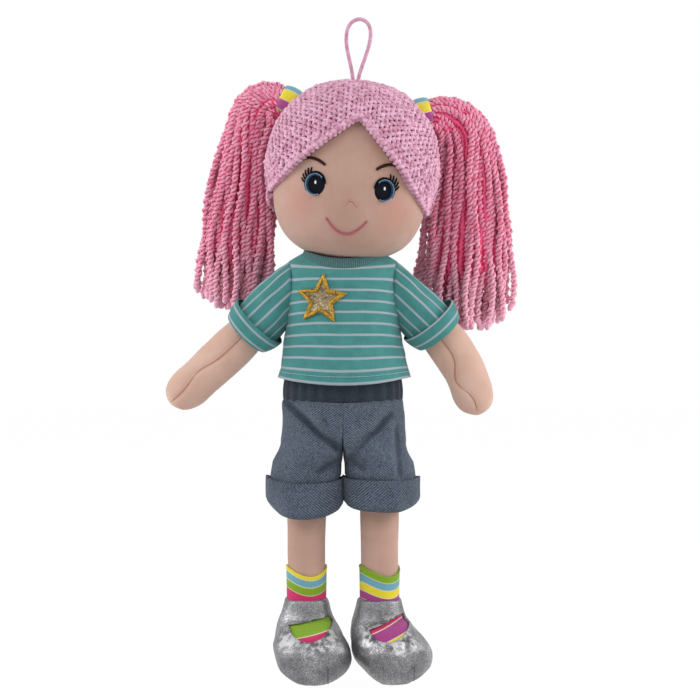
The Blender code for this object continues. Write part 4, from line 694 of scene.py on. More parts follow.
def yarn_tree():
    """A node tree that twists two plies of yarn round every guide line."""
    tree = bpy.data.node_groups.new("twisted_yarn", "GeometryNodeTree")
    face = tree.interface
    face.new_socket("Geometry", in_out="INPUT", socket_type="NodeSocketGeometry")
    for name in ("Ply Radius", "Twist Radius", "Twist Length", "Step"):
        face.new_socket(name, in_out="INPUT", socket_type="NodeSocketFloat")
    face.new_socket("Finish", in_out="INPUT", socket_type="NodeSocketMaterial")
    face.new_socket("Geometry", in_out="OUTPUT", socket_type="NodeSocketGeometry")
    nodes, links = tree.nodes, tree.links
    start, end = nodes.new("NodeGroupInput"), nodes.new("NodeGroupOutput")

    def sum_of(operation, first, second):
        made = nodes.new("ShaderNodeMath")
        made.operation = operation
        for socket, value in zip(made.inputs, (first, second)):
            if isinstance(value, bpy.types.NodeSocket):
                links.new(value, socket)
            else:
                socket.default_value = value
        return made.outputs[0]

    def vectors(operation, first, second, output="Vector"):
        made = nodes.new("ShaderNodeVectorMath")
        made.operation = operation
        links.new(first, made.inputs[0])
        links.new(second, made.inputs["Scale" if operation == "SCALE" else 1])
        return made.outputs[output]

    lines = nodes.new("GeometryNodeMeshToCurve")
    links.new(start.outputs["Geometry"], lines.inputs["Mesh"])
    even = nodes.new("GeometryNodeResampleCurve")
    even.mode = "LENGTH"
    links.new(lines.outputs["Curve"], even.inputs["Curve"])
    links.new(start.outputs["Step"], even.inputs["Length"])
    along = nodes.new("GeometryNodeSplineParameter")
    phase = nodes.new("GeometryNodeInputNamedAttribute")
    phase.data_type = "FLOAT"
    phase.inputs["Name"].default_value = "phase"
    turns = sum_of("DIVIDE", along.outputs["Length"], start.outputs["Twist Length"])
    angle = sum_of("MULTIPLY", sum_of("ADD", turns, phase.outputs["Attribute"]), math.tau)
    normal = nodes.new("GeometryNodeInputNormal").outputs["Normal"]
    tangent = nodes.new("GeometryNodeInputTangent").outputs["Tangent"]
    beside = vectors("CROSS_PRODUCT", tangent, normal)
    middle = nodes.new("GeometryNodeStoreNamedAttribute")
    middle.data_type = "FLOAT_VECTOR"
    middle.inputs["Name"].default_value = "middle"
    here = nodes.new("GeometryNodeInputPosition").outputs["Position"]
    links.new(even.outputs["Curve"], middle.inputs["Geometry"])
    links.new(here, middle.inputs["Value"])
    kept_middle = nodes.new("GeometryNodeInputNamedAttribute")
    kept_middle.data_type = "FLOAT_VECTOR"
    kept_middle.inputs["Name"].default_value = "middle"
    away = vectors("DISTANCE", here, kept_middle.outputs["Attribute"], "Value")
    reach_of_both = sum_of("ADD", start.outputs["Twist Radius"], start.outputs["Ply Radius"])
    sunk = sum_of("SUBTRACT", 1.0, sum_of("DIVIDE", away, reach_of_both))
    joined = nodes.new("GeometryNodeJoinGeometry")
    round_line = nodes.new("GeometryNodeCurvePrimitiveCircle")
    round_line.inputs["Resolution"].default_value = 6
    links.new(start.outputs["Ply Radius"], round_line.inputs["Radius"])
    for half in (1.0, -1.0):
        reach = sum_of("MULTIPLY", start.outputs["Twist Radius"], half)
        outward = vectors("SCALE", normal, sum_of("MULTIPLY", sum_of("COSINE", angle, 0.0), reach))
        sideways = vectors("SCALE", beside, sum_of("MULTIPLY", sum_of("SINE", angle, 0.0), reach))
        ply = nodes.new("GeometryNodeSetPosition")
        links.new(middle.outputs["Geometry"], ply.inputs["Geometry"])
        links.new(vectors("ADD", outward, sideways), ply.inputs["Offset"])
        thick = nodes.new("GeometryNodeCurveToMesh")
        thick.inputs["Fill Caps"].default_value = True
        links.new(ply.outputs["Geometry"], thick.inputs["Curve"])
        links.new(round_line.outputs["Curve"], thick.inputs["Profile Curve"])
        links.new(thick.outputs["Mesh"], joined.inputs["Geometry"])
    # How far in towards a strand's middle a point lies; the finishes paint shade by it.
    hollow = nodes.new("GeometryNodeStoreNamedAttribute")
    hollow.data_type = "FLOAT"
    hollow.inputs["Name"].default_value = "hollow"
    links.new(joined.outputs["Geometry"], hollow.inputs["Geometry"])
    links.new(sunk, hollow.inputs["Value"])
    real = nodes.new("GeometryNodeRealizeInstances")
    links.new(hollow.outputs["Geometry"], real.inputs["Geometry"])
    smooth = nodes.new("GeometryNodeSetShadeSmooth")
    links.new(real.outputs["Geometry"], smooth.inputs["Geometry"])
    dressed = nodes.new("GeometryNodeSetMaterial")
    links.new(smooth.outputs["Geometry"], dressed.inputs["Geometry"])
    links.new(start.outputs["Finish"], dressed.inputs["Material"])
    links.new(dressed.outputs["Geometry"], end.inputs["Geometry"])
    return tree


TREES = {"laid_stitches": stitch_tree(), "twisted_yarn": yarn_tree()}


def grown(piece, tree_name, **values):
    """Run a node tree on a piece, with its named inputs set, and keep the plain mesh."""
    tree = TREES[tree_name]
    modifier = piece.modifiers.new(tree_name, "NODES")
    modifier.node_group = tree
    for socket in tree.interface.items_tree:
        key = socket.name.replace(" ", "_").lower()
        if socket.in_out == "INPUT" and key in values:
            modifier[socket.identifier] = values[key]
    settled(piece)
    piece.data.validate()
    piece.data.materials.clear()
    piece.data.materials.append(values["finish"])
    return piece


def stitches(name, laid, thickness, material, sides=6):
    """A piece of many threads; each is laid as its middle, the way it runs, the way out, and its size."""
    mesh = bpy.data.meshes.new(name)
    mesh.from_pydata([tuple(one[0]) for one in laid], [], [])
    turns, sizes = [], []
    for _, along, out, size in laid:
        along = Vector(along).normalized()
        side = Vector(out).cross(along).normalized()
        upright = along.cross(side)
        turns.extend(Matrix((side, upright, along)).transposed().to_euler())
        sizes.extend(value / thickness for value in size)
    for key, values in (("turn", turns), ("size", sizes)):
        attribute = mesh.attributes.new(key, "FLOAT_VECTOR", "POINT")
        attribute.data.foreach_set("vector", values)
    piece = mesh_object(name, mesh, material)
    return grown(piece, "laid_stitches", thread_thickness=thickness, sides=sides, finish=material)


def yarns(name, lines, ply, twist, twist_length, step, material):
    """A piece of twisted strands along lines of points."""
    points, edges, phases = [], [], []
    for number, line in enumerate(lines):
        start = len(points)
        points.extend(tuple(point) for point in line)
        edges.extend((start + step_number, start + step_number + 1) for step_number in range(len(line) - 1))
        phases.extend([(number * 0.37) % 1.0] * len(line))
    mesh = bpy.data.meshes.new(name)
    mesh.from_pydata(points, edges, [])
    attribute = mesh.attributes.new("phase", "FLOAT", "POINT")
    attribute.data.foreach_set("value", phases)
    piece = mesh_object(name, mesh, material)
    return grown(
        piece, "twisted_yarn", ply_radius=ply, twist_radius=twist, twist_length=twist_length,
        step=step, finish=material,
    )


# Camera, floor and light.


def set_camera():
    """A camera where the photograph was taken from."""
    lens = bpy.data.cameras.new("camera")
    made = bpy.data.objects.new("camera", lens)
    bpy.context.scene.collection.objects.link(made)
    made.location = in_doll(CAMERA_PLACE)
    made.rotation_euler = (math.pi / 2, 0, 0)
    lens.sensor_fit = "HORIZONTAL"
    lens.angle = 2 * math.atan(PHOTO_SPAN / 2 / -CAMERA_PLACE.y)
    lens.clip_start = 0.05
    bpy.context.scene.camera = made


def set_floor():
    """A plain white floor just under the toes, that shows as white and keeps a faint shadow."""
    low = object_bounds()[0][2] - 1.0 * MM
    reach = 6.0
    mesh = bpy.data.meshes.new("floor")
    corners = [(-reach, -reach, low), (reach, -reach, low), (reach, reach, low), (-reach, reach, low)]
    mesh.from_pydata(corners, [], [(0, 1, 2, 3)])
    material, shader = finish("white_floor", 0.9, specular=0.1)
    shader.inputs["Base Color"].default_value = (0.9, 0.9, 0.9, 1.0)
    glow = node(material, "Emission", {"Color": (1.0, 1.0, 1.0), "Strength": 1.04})
    seen = node(material, "LightPath")
    shown = math_node(material, "MAXIMUM", seen.outputs["Is Camera Ray"], seen.outputs["Is Glossy Ray"])
    shown = math_node(material, "MULTIPLY", shown, 0.93)
    blend = node(material, "MixShader", {0: shown, 1: shader.outputs["BSDF"], 2: glow.outputs["Emission"]})
    output = material.node_tree.nodes["Material Output"]
    material.node_tree.links.new(blend.outputs["Shader"], output.inputs["Surface"])
    mesh_object("floor", mesh, material)


def set_world():
    """A white background, and a softer even light on the doll."""
    world = bpy.data.worlds.new("studio")
    world.use_nodes = True
    bpy.context.scene.world = world
    nodes, links = world.node_tree.nodes, world.node_tree.links
    nodes.clear()
    seen = nodes.new("ShaderNodeLightPath")
    shown = nodes.new("ShaderNodeMath")
    shown.operation = "MAXIMUM"
    links.new(seen.outputs["Is Camera Ray"], shown.inputs[0])
    links.new(seen.outputs["Is Glossy Ray"], shown.inputs[1])
    even, bright = nodes.new("ShaderNodeBackground"), nodes.new("ShaderNodeBackground")
    even.inputs["Color"].default_value = (0.97, 0.98, 1.0, 1.0)
    even.inputs["Strength"].default_value = 0.40
    bright.inputs["Color"].default_value = (1, 1, 1, 1)
    bright.inputs["Strength"].default_value = 1.0
    blend = nodes.new("ShaderNodeMixShader")
    links.new(shown.outputs[0], blend.inputs[0])
    links.new(even.outputs[0], blend.inputs[1])
    links.new(bright.outputs[0], blend.inputs[2])
    output = nodes.new("ShaderNodeOutputWorld")
    links.new(blend.outputs[0], output.inputs["Surface"])


def set_lamp(name, place, size, watts):
    """A soft square lamp aimed at the doll's middle."""
    light = bpy.data.lights.new(name, "AREA")
    light.size = size
    light.energy = watts
    made = bpy.data.objects.new(name, light)
    bpy.context.scene.collection.objects.link(made)
    made.location = in_doll(place)
    aim = in_doll((0, 0, 0.22)) - made.location
    made.rotation_euler = aim.to_track_quat("-Z", "Y").to_euler()


def set_studio():
    """The camera, the floor and the lights."""
    bpy.context.scene.view_settings.view_transform = "Standard"
    set_camera()
    set_world()
    set_lamp("key_lamp", (-0.8, -0.9, 1.2), 0.8, 7.5)
    set_lamp("fill_lamp", (1.0, -0.8, 1.05), 0.8, 6.5)
    set_lamp("left_edge_lamp", (-1.2, -0.05, 0.6), 0.7, 7.5)
    set_lamp("right_edge_lamp", (1.2, -0.05, 0.6), 0.7, 8.5)
    set_floor()


# The hanging loop.


def build_loop():
    """The twisted cord loop at the crown."""
    height, width, gap, lean, teardrop = 40.5 * MM, 16.0 * MM, 3.6 * MM, 2.7 * MM, 0.65
    reach = (width / 2 - gap / 4) / teardrop
    line = []
    for step in range(49):
        half_turn = math.pi * step / 48
        rise = math.sin(half_turn) ** 2
        side = -reach * math.sin(2 * half_turn) * rise - gap / 2 * math.cos(half_turn)
        line.append(in_doll(LOOP_BASE + Vector((side + lean * rise, 0, height * rise))))
    length = sum((there - here).length for here, there in zip(line, line[1:]))
    even = []
    steps = 220
    sums = np.concatenate([[0], np.cumsum([(b - a).length for a, b in zip(line, line[1:])])])
    for share in np.linspace(0, sums[-1], steps):
        even.append(Vector([np.interp(share, sums, [point[axis] for point in line]) for axis in range(3)]))
    rows = []
    plies, sides = 3, 18
    for number, point in enumerate(even):
        heading = (even[min(number + 1, steps - 1)] - even[max(number - 1, 0)]).normalized()
        across = Vector((0, 1, 0)).cross(heading).normalized()
        upward = heading.cross(across)
        turn = math.tau * length * number / steps / (5.4 * MM)
        row = []
        for side in range(sides):
            angle = math.tau * side / sides
            radius = LOOP_THICKNESS / 2 * (0.86 + 0.16 * abs(math.cos(plies / 2 * (angle + turn))))
            row.append(point + across * (radius * math.cos(angle)) + upward * (radius * math.sin(angle)))
        rows.append(row)
    rows = [[even[0]] * sides] + rows + [[even[-1]] * sides]
    material = yarn_finish("loop_cord", (0.68, 0.39, 0.52), (0.50, 0.21, 0.32))
    loop = grid_piece("loop_cord", rows, material)
    worn_by(loop, "hanger", "pink_cord", "hang_loop")


# The head, its face and its hair.


def head_surface():
    """The stuffed head in its own frame, and a tree for finding places on it."""
    rows = form_rows(HEAD_CENTRE, HEAD_HALF, HEAD_SHARES, 0.0, 96, 6)
    head = grid_piece("stuffed_head", rows, skin_finish("face_jersey", cheeks=True))

    def puckered(point):
        nose = Vector((2.5 * MM, -40 * MM, 25.5 * MM))
        away = (point - nose).length
        lifted = point.copy()
        if point.y < 0:
            lifted.y -= 0.9 * MM * math.exp(-((away / (3.6 * MM)) ** 2))
        swell = noise.noise(point * 55.0) * 0.35 * MM
        return lifted + (point - HEAD_CENTRE).normalized() * swell

    moved(head, puckered)
    work = bmesh.new()
    work.from_mesh(head.data)
    tree = BVHTree.FromBMesh(work)
    work.free()
    moved(head, in_head)
    return head, tree


def on_face(tree, across, up, lift=0.0):
    """A place on the face and the way out of it, in the head's frame."""
    hit, normal, _, _ = tree.ray_cast(Vector((across, -0.2, up)), Vector((0, 1, 0)))
    if hit is None:
        hit, normal, _, _ = tree.find_nearest(Vector((across, 0, up)))
    if normal.y > 0:
        normal = -normal
    return hit + normal * lift, normal


def face_patch(name, tree, middle, half, material, crown, turn=0.0):
    """A raised, crowned patch of satin stitch on the face, its rim sunk into the cloth."""
    sides, rings, sunk = 40, 7, -0.5 * MM

    def rim(share, lift):
        row = []
        for side in range(sides):
            angle = math.tau * side / sides
            x, z = half[0] * share * math.sin(angle), half[1] * share * math.cos(angle)
            x, z = x * math.cos(turn) + z * math.sin(turn), z * math.cos(turn) - x * math.sin(turn)
            row.append(in_head(on_face(tree, middle[0] + x, middle[1] + z, lift)[0]))
        return row

    rows = []
    for number in range(rings + 1):
        share = number / rings
        rows.append(rim(share, 0.15 * MM + crown * math.sqrt(max(1 - share**2, 0.0))))
    return grid_piece(name, rows + [rim(1.0, sunk), rim(0.0, sunk)], material)


def face_strip(name, tree, line, widths, material, height=0.35 * MM, lean=0.0, pitch=0.42 * MM):
    """A row of satin stitches across a line on the face, given in the head's frame."""
    line = [Vector((x, 0, z)) for x, z in line]
    sums = np.concatenate([[0], np.cumsum([(b - a).length for a, b in zip(line, line[1:])])])
    count = max(int(sums[-1] / pitch), 3)
    laid = []
    for step in range(count + 1):
        distance = sums[-1] * step / count
        x = np.interp(distance, sums, [point.x for point in line])
        z = np.interp(distance, sums, [point.z for point in line])
        ahead = min(distance + 0.3 * MM, sums[-1])
        behind = max(distance - 0.3 * MM, 0.0)
        run = Vector([
            np.interp(ahead, sums, [point[axis] for point in line])
            - np.interp(behind, sums, [point[axis] for point in line])
            for axis in range(3)
        ]).normalized()
        width = np.interp(step / count, np.linspace(0, 1, len(widths)), widths)
        place, out = on_face(tree, x, z, height / 2)
        across = out.cross(run).normalized()
        across = (across * math.cos(lean) + run * math.sin(lean)).normalized()
        laid.append((in_head(place), turned(across), turned(out), (0.30 * MM, height, width / 2)))
    return stitches(name, laid, 0.5 * MM, material)


def turned(direction):
    """A direction of the head's frame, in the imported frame."""
    return Matrix.Rotation(HEAD_TILT, 3, "Y") @ Vector(direction)


def arc(middle, half_length, rise, steps=24):
    """A line of points on a low arch; a negative rise hangs down."""
    return [
        (middle[0] + half_length * t, middle[1] + rise * (1 - t**2))
        for t in np.linspace(-1, 1, steps)
    ]


def joined(name, pieces):
    """One piece made of several, keeping their materials."""
    work = bmesh.new()
    finishes = []
    for piece in pieces:
        start = len(work.faces)
        work.from_mesh(piece.data)
        work.faces.ensure_lookup_table()
        number = len(finishes)
        finishes.append(piece.data.materials[0])
        for face in work.faces[start:]:
            face.material_index = number
    mesh = bpy.data.meshes.new(name)
    for one in finishes:
        mesh.materials.append(one)
    work.to_mesh(mesh)
    work.free()
    for piece in pieces:
        bpy.data.objects.remove(piece, do_unlink=True)
    made = bpy.data.objects.new(name, mesh)
    bpy.context.scene.collection.objects.link(made)
    return made


def build_eye(name, side, tree, finishes):
    """An embroidered eye: black ground, blue crescent, white glint, a liner and curled lashes."""
    middle = (side * 21.9 * MM + 1.2 * MM, (37.2 - 0.15 * side) * MM)
    half = (6.0 * MM, 7.2 * MM)
    turn = side * math.radians(4.0)
    ground = face_patch("eye_ground_" + name, tree, middle, half, finishes["black"], 0.6 * MM, turn)
    worn_by(ground, "head", "black_thread", "eye_black_" + name)

    def rim(angle, share):
        x = side * half[0] * share * math.sin(angle)
        z = half[1] * share * math.cos(angle)
        return (middle[0] + x * math.cos(turn) + z * math.sin(turn),
                middle[1] + z * math.cos(turn) - x * math.sin(turn))

    def band(label, first, last, share, widths, finish_name, height, lift_pitch=0.36 * MM):
        line = [rim(angle, share) for angle in np.linspace(first, last, 30)]
        return face_strip(label, tree, line, widths, finishes[finish_name], height, 0.0, lift_pitch)

    blue = band("eye_blue_rim_" + name, math.radians(-55), math.radians(178), 0.84,
                (0.4 * MM, 0.9 * MM, 1.3 * MM, 1.3 * MM, 1.0 * MM, 0.5 * MM), "blue", 1.6 * MM)
    pale = band("eye_pale_line_" + name, math.radians(-50), math.radians(200), 0.93,
                (0.3 * MM, 0.55 * MM, 0.7 * MM, 0.75 * MM, 0.6 * MM, 0.4 * MM), "pale_blue", 1.9 * MM)
    worn_by(joined("eye_crescent_" + name, [blue, pale]), "head", "blue_thread", "eye_blue_" + name)
    glint_middle = (middle[0] + 0.1 * MM, middle[1] + 1.2 * MM)
    glint = face_patch("eye_glint_" + name + "_thread", tree, glint_middle, (0.8 * MM, 1.35 * MM),
                       finishes["white"], 1.2 * MM)
    worn_by(glint, "head", "white_thread", "eye_glint_" + name)
    parts = [
        band("liner", math.radians(-88), math.radians(120), 1.06,
             (0.7 * MM, 1.6 * MM, 1.9 * MM, 1.9 * MM, 1.7 * MM, 0.8 * MM), "black", 0.9 * MM)
    ]
    for number in range(5):
        angle = math.radians(24 + 14 * number)
        root = rim(angle, 1.02)
        length = (4.1 + 0.8 * math.sin(math.pi * number / 4)) * MM
        spread = angle + math.radians(4 - 3 * number)
        line = []
        for t in np.linspace(0, 1, 9):
            curl = spread - 0.45 * t
            line.append((root[0] + side * math.sin(curl) * length * t, root[1] + math.cos(curl) * length * t))
        parts.append(face_strip(
            "lash", tree, line, (2.1 * MM, 1.6 * MM, 1.1 * MM, 0.6 * MM), finishes["black"],
            0.9 * MM, 0.5, 0.3 * MM,
        ))
    worn_by(joined("lashes_and_liner_" + name, parts), "head", "black_thread", "lashes_" + name)


def build_face(tree):
    """The embroidered face."""
    finishes = {
        "black": thread_finish("black_satin", (0.008, 0.009, 0.014), (0.003, 0.003, 0.005), 0.7, 0.06),
        "blue": thread_finish("blue_satin", (0.045, 0.10, 0.20), (0.025, 0.055, 0.12), 0.5, 0.15),
        "pale_blue": thread_finish("pale_blue_satin", (0.34, 0.50, 0.66), (0.24, 0.38, 0.54), 0.5, 0.2),
        "white": thread_finish("white_satin", (0.88, 0.88, 0.86), (0.7, 0.7, 0.68)),
        "brown": thread_finish("brown_satin", (0.050, 0.014, 0.010), (0.03, 0.008, 0.006), 0.6, 0.1),
        "rose": thread_finish("rose_satin", (0.50, 0.13, 0.16), (0.38, 0.07, 0.10)),
        "nose": thread_finish("nose_thread", (0.62, 0.32, 0.27), (0.50, 0.22, 0.19), 0.6),
    }
    for name, side in SIDES:
        build_eye(name, side, tree, finishes)
        middle = (side * 25.3 * MM + 0.8 * MM, 50.6 * MM)
        arch = arc((0.0, middle[1]), 8.8 * MM, 3.3 * MM)
        brow_line = [(middle[0] + side * x, z + 0.08 * x) for x, z in arch]
        brow = face_strip("brow_" + name + "_satin", tree, brow_line,
                          (2.1 * MM, 2.4 * MM, 2.3 * MM, 2.0 * MM, 1.5 * MM), finishes["brown"],
                          0.9 * MM, 0.4)
        worn_by(brow, "head", "brown_thread", "brow_" + name)
    nose = face_strip("nose_satin", tree, arc((2.7 * MM, 25.0 * MM), 4.2 * MM, 3.6 * MM),
                      (1.0 * MM, 1.2 * MM, 1.0 * MM), finishes["nose"], 0.55 * MM, 0.5)
    worn_by(nose, "head", "pink_thread", "nose_stitch")
    mouth = face_strip("mouth_satin", tree, arc((1.0 * MM, 16.6 * MM), 13.0 * MM, -8.9 * MM, 40),
                       (1.5 * MM, 1.9 * MM, 2.0 * MM, 1.9 * MM, 1.5 * MM), finishes["rose"], 0.8 * MM, 0.5)
    worn_by(mouth, "head", "pink_thread", "mouth_stitch")


def head_sizes(up, grow):
    """The head's half width and half depth at a height of its own frame."""
    share = (up - HEAD_CENTRE.z) / (HEAD_HALF[2] + grow)
    if abs(share) >= 1:
        return 0.0, 0.0
    wide, deep = read_table(SMOOTH_HEAD, share)
    return wide * HEAD_HALF[0] + grow, deep * HEAD_HALF[1] + grow


SMOOTH_HEAD = [tuple(max(value, 0.0) if number else value for number, value in enumerate(row))
               for row in fine_rows(HEAD_SHARES, 6)]


def hairline(across):
    """The height of the front edge of the hair at a place across, in the head's frame."""
    far = abs(across - PARTING) / (HEAD_HALF[0] + PARTING * (1 if across < 0 else -1))
    end = HAIRLINE_ENDS[-1 if across < PARTING else 1]
    straight = HAIRLINE_PEAK + (end - HAIRLINE_PEAK) * far
    return straight + HAIRLINE_BOW * 4 * far * max(1 - far, 0.0)


def hair_slice(across, grow):
    """Points over the hair in an upright slice, from the hairline over the crown to the nape."""
    steps = 70

    def at(up, back):
        wide, deep = head_sizes(up, grow)
        if wide <= abs(across - HEAD_CENTRE.x):
            return None
        side = (across - HEAD_CENTRE.x) / wide
        return Vector((across, (1 if back else -1) * deep * math.sqrt(1 - side**2), up))

    top = HEAD_CENTRE.z + HEAD_HALF[2] + grow
    front = [point for point in (at(up, False) for up in np.linspace(hairline(across), top, steps)) if point]
    near = abs(across) / (HEAD_HALF[0] + grow)
    low = NAPE + (HAIRLINE_ENDS[1] - NAPE) * near**4
    back = [point for point in (at(up, True) for up in np.linspace(top, low, steps)) if point]
    return front + back


def thinned(point):
    """Bring a point of the hair in towards the head near the two low ends of the hairline."""
    low = 1 - min(max((point.z - 36 * MM) / (16 * MM), 0.0), 1.0)
    front = min(max((14 * MM - point.y) / (14 * MM), 0.0), 1.0)
    return point - (point - HEAD_CENTRE).normalized() * (3.7 * MM * low * front)


def along_slice(points, distance):
    """The point and heading at a distance along a line of points, or nothing past its end."""
    sums = 0.0
    for here, there in zip(points, points[1:]):
        step = (there - here).length
        if sums + step >= distance and step > 0:
            return here.lerp(there, (distance - sums) / step), (there - here).normalized()
        sums += step
    return None


def knit_row(side, distance, grow, pitch):
    """Places of the stitches on one row of the hair, from the parting outwards."""
    places = []
    probe = 0.12 * MM
    across = PARTING + side * 1.6 * MM
    while abs(across) < HEAD_HALF[0] + grow + abs(HEAD_CENTRE.x):
        found = along_slice(hair_slice(across, grow), distance)
        if found is None:
            across += side * pitch
            continue
        places.append((thinned(found[0]), found[1]))
        ahead = along_slice(hair_slice(across + side * probe, grow), distance)
        if ahead is None:
            break
        step = (ahead[0] - found[0]).length / probe
        across += side * pitch / max(step, 1.0)
    return places


def rim_loops(side, grow, pitch, draw):
    """Plump loops side by side along the edge of the hair, over the forehead."""
    laid = []
    places = knit_row(side, 1.6 * MM, grow, pitch * 0.95)
    for spot, (place, heading) in enumerate(places):
        after = places[min(spot + 1, len(places) - 1)][0]
        before = places[max(spot - 1, 0)][0]
        run = (after - before).normalized() if spot or len(places) > 1 else Vector((side, 0, 0))
        out = (place - HEAD_CENTRE).normalized()
        inward = place - out * (2.6 * MM) - heading * (0.6 * MM)
        lean = draw.uniform(-0.2, 0.2)
        for step, middle in enumerate((place - heading * (0.5 * MM), inward)):
            along = (out + run * lean).normalized() if step else (run + heading * (0.6 + lean)).normalized()
            size = (2.1 * MM, 1.7 * MM, 2.4 * MM) if step else (1.75 * MM, 1.6 * MM, 2.7 * MM)
            laid.append((in_head(middle), turned(along), turned(run.cross(along) if step else out), size))
    return laid


def side_stitches(side, grow, pitch, draw):
    """Stitches up the side of the head, where the rows from the front and the back meet."""
    laid = []
    rows = 10
    for number in range(rows):
        up = HAIRLINE_ENDS[side] + 1.5 * MM + number * 0.75 * pitch
        wide, deep = head_sizes(up, grow)
        for column in (-1, 0, 1):
            back = column * 0.8 * pitch
            across = HEAD_CENTRE.x + side * wide * math.sqrt(1 - (back / deep) ** 2)
            out = Vector((side, back / deep, 0)).normalized()
            along = Vector((0, column * 0.5 + draw.uniform(-0.3, 0.3), 1))
            place = in_head(thinned(Vector((across, back, up))))
            laid.append((place, turned(along), turned(out), (1.5 * MM, 1.4 * MM, 2.5 * MM)))
    return laid


def build_hair():
    """The knitted hair: a deep pink ground, painted shade for the hollows between the stitches, under rows of
    plump stitches, half each side of the parting.
    """
    yarn = yarn_finish("knit_yarn", YARN_LIGHT, YARN_DEEP)
    # The ground's deeper pink is painted shade, for the hollows between the stitches.
    deep = yarn_finish("knit_ground", (0.60, 0.17, 0.28), (0.44, 0.08, 0.15))
    pitch, row_pitch, grow = 3.9 * MM, 3.9 * MM, 5.4 * MM
    draw = random.Random(7)
    for name, side in SIDES:
        laid = rim_loops(side, grow, pitch, draw) + side_stitches(side, grow, pitch, draw)
        rows = 50
        for number in range(rows):
            places = knit_row(side, (number + 0.85) * row_pitch, grow, pitch)
            for spot, (place, heading) in enumerate(places):
                before = places[max(spot - 1, 0)][0]
                after = places[min(spot + 1, len(places) - 1)][0]
                run = (after - before)
                run = run.normalized() if run.length > 0 else Vector((side, 0, 0))
                out = run.cross(heading) * -side
                if out.dot(place - HEAD_CENTRE) < 0:
                    out = -out
                out.normalize()
                up = out.cross(run).normalized()
                for half in (-1, 1):
                    lean = math.radians(31 + draw.uniform(-16, 16)) * half
                    along = run * math.cos(lean) + up * math.sin(lean)
                    middle = place + up * (half * row_pitch * 0.23) + out * (draw.uniform(-0.5, 0.5) * MM)
                    middle += run * (draw.uniform(-0.3, 0.3) * MM)
                    plump = draw.uniform(0.84, 1.2)
                    size = (1.24 * MM * plump, 1.3 * MM * plump, 2.45 * MM)
                    laid.append((in_head(middle), turned(along), turned(out), size))
        half_hair = stitches("knit_hair_" + name, laid, 1.0 * MM, yarn, 6)
        ground = hair_ground(name, side, 4.3 * MM, deep)
        worn_by(joined("knitted_hair_" + name, [half_hair, ground]), "head", "pink_yarn", "hair_cap_" + name)


def hair_ground(name, side, grow, material):
    """One half of the cap's ground, closed down to the head."""
    rows = []
    start = PARTING + side * 0.1 * MM
    edge = HEAD_CENTRE.x + side * (HEAD_HALF[0] + grow - 0.1 * MM)
    places = [start + (edge - start) * share for share in np.sin(np.linspace(0, math.pi / 2, 30))]
    for across in places:
        outer = hair_slice(across, grow)
        if len(outer) < 4:
            continue
        sums = sum((b - a).length for a, b in zip(outer, outer[1:]))
        row = []
        for distance in np.linspace(min(1.8 * MM, 0.2 * sums), max(sums - 1.8 * MM, 0.8 * sums), 60):
            row.append(thinned(along_slice(outer, distance)[0]))
        inner = [HEAD_CENTRE + (point - HEAD_CENTRE) * 0.86 for point in row[::-1]]
        rows.append([in_head(point) for point in row + inner])
    closed_end = sum(rows[-1][:60], Vector()) / 60
    return grid_piece("hair_ground_" + name, rows + [[closed_end] * len(rows[-1])], material)


# Pigtails.


def pigtail_line(side, reach, lean, length):
    """The middle line of a pigtail, from inside its tie, over and down, with its distances."""
    slope, tie_length, tie_reach = math.radians(20.0), 12 * MM, 44 * MM
    bend = math.pi / 2 + slope - lean
    start = tie_reach + tie_length / 2 * math.cos(slope)
    radius = (reach - start) / (1 + math.sin(slope))
    total = tie_length + radius * bend + length
    drift = (38 * MM - 8 * MM) / (total - tie_length)
    tie = Vector((side * tie_reach, 8 * MM, 94 * MM))
    outward = Vector((side * math.cos(slope), 0, math.sin(slope)))
    points = [tie - outward * (tie_length / 2)]
    steps = 144
    for step in range(steps):
        distance = (step + 0.5) / steps * total - tie_length
        angle = min(max(distance / radius, 0.0), bend) - slope
        heading = Vector((side * math.cos(angle), drift if distance > 0 else 0.0, -math.sin(angle)))
        points.append(points[-1] + heading * (total / steps))
    return points, total, tie_length


PIGTAILS = {
    "right": (-1, 71 * MM, 0.0, 124 * MM, 28 * MM),
    "left": (1, 79 * MM, math.radians(4.0), 120 * MM, 32.5 * MM),
}
# The turn from one strand to the next that spreads them evenly over the pigtail.
GOLDEN_ANGLE = 2.39996
STRAND_RADIUS = 2.2 * MM
CRIMP = 0.62 * MM
CRIMP_LENGTH = 6.4 * MM


def kept_clear(point, spare):
    """Move a point of a pigtail off the knitted hair, with a spare distance."""
    away = point - HEAD_CENTRE
    half = [size + HAIR_DEPTH + spare for size in HEAD_HALF]
    share = math.sqrt(sum((value / size) ** 2 for value, size in zip(away, half)))
    if share < 1:
        point = HEAD_CENTRE + away / max(share, 0.2)
    return point


def sleeve_clear(point, side):
    """Move a strand's point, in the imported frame, off the shoulder, the sleeve and its cuff."""
    start = in_doll((side * 20 * MM, 0, SHOULDER[1] + 6 * MM))
    end = in_doll((side * 68 * MM, 0, SHOULDER[1] - 24 * MM))
    share = min(max((point - start).dot(end - start) / (end - start).length_squared, 0.0), 1.0)
    nearest = start.lerp(end, share)
    away = point - nearest
    keep = 21 * MM + STRAND_RADIUS
    if away.length < keep:
        flat = math.sqrt(max(keep**2 - away.x**2 - away.z**2, 0.0))
        point = Vector((point.x, nearest.y + flat, point.z))
    return point


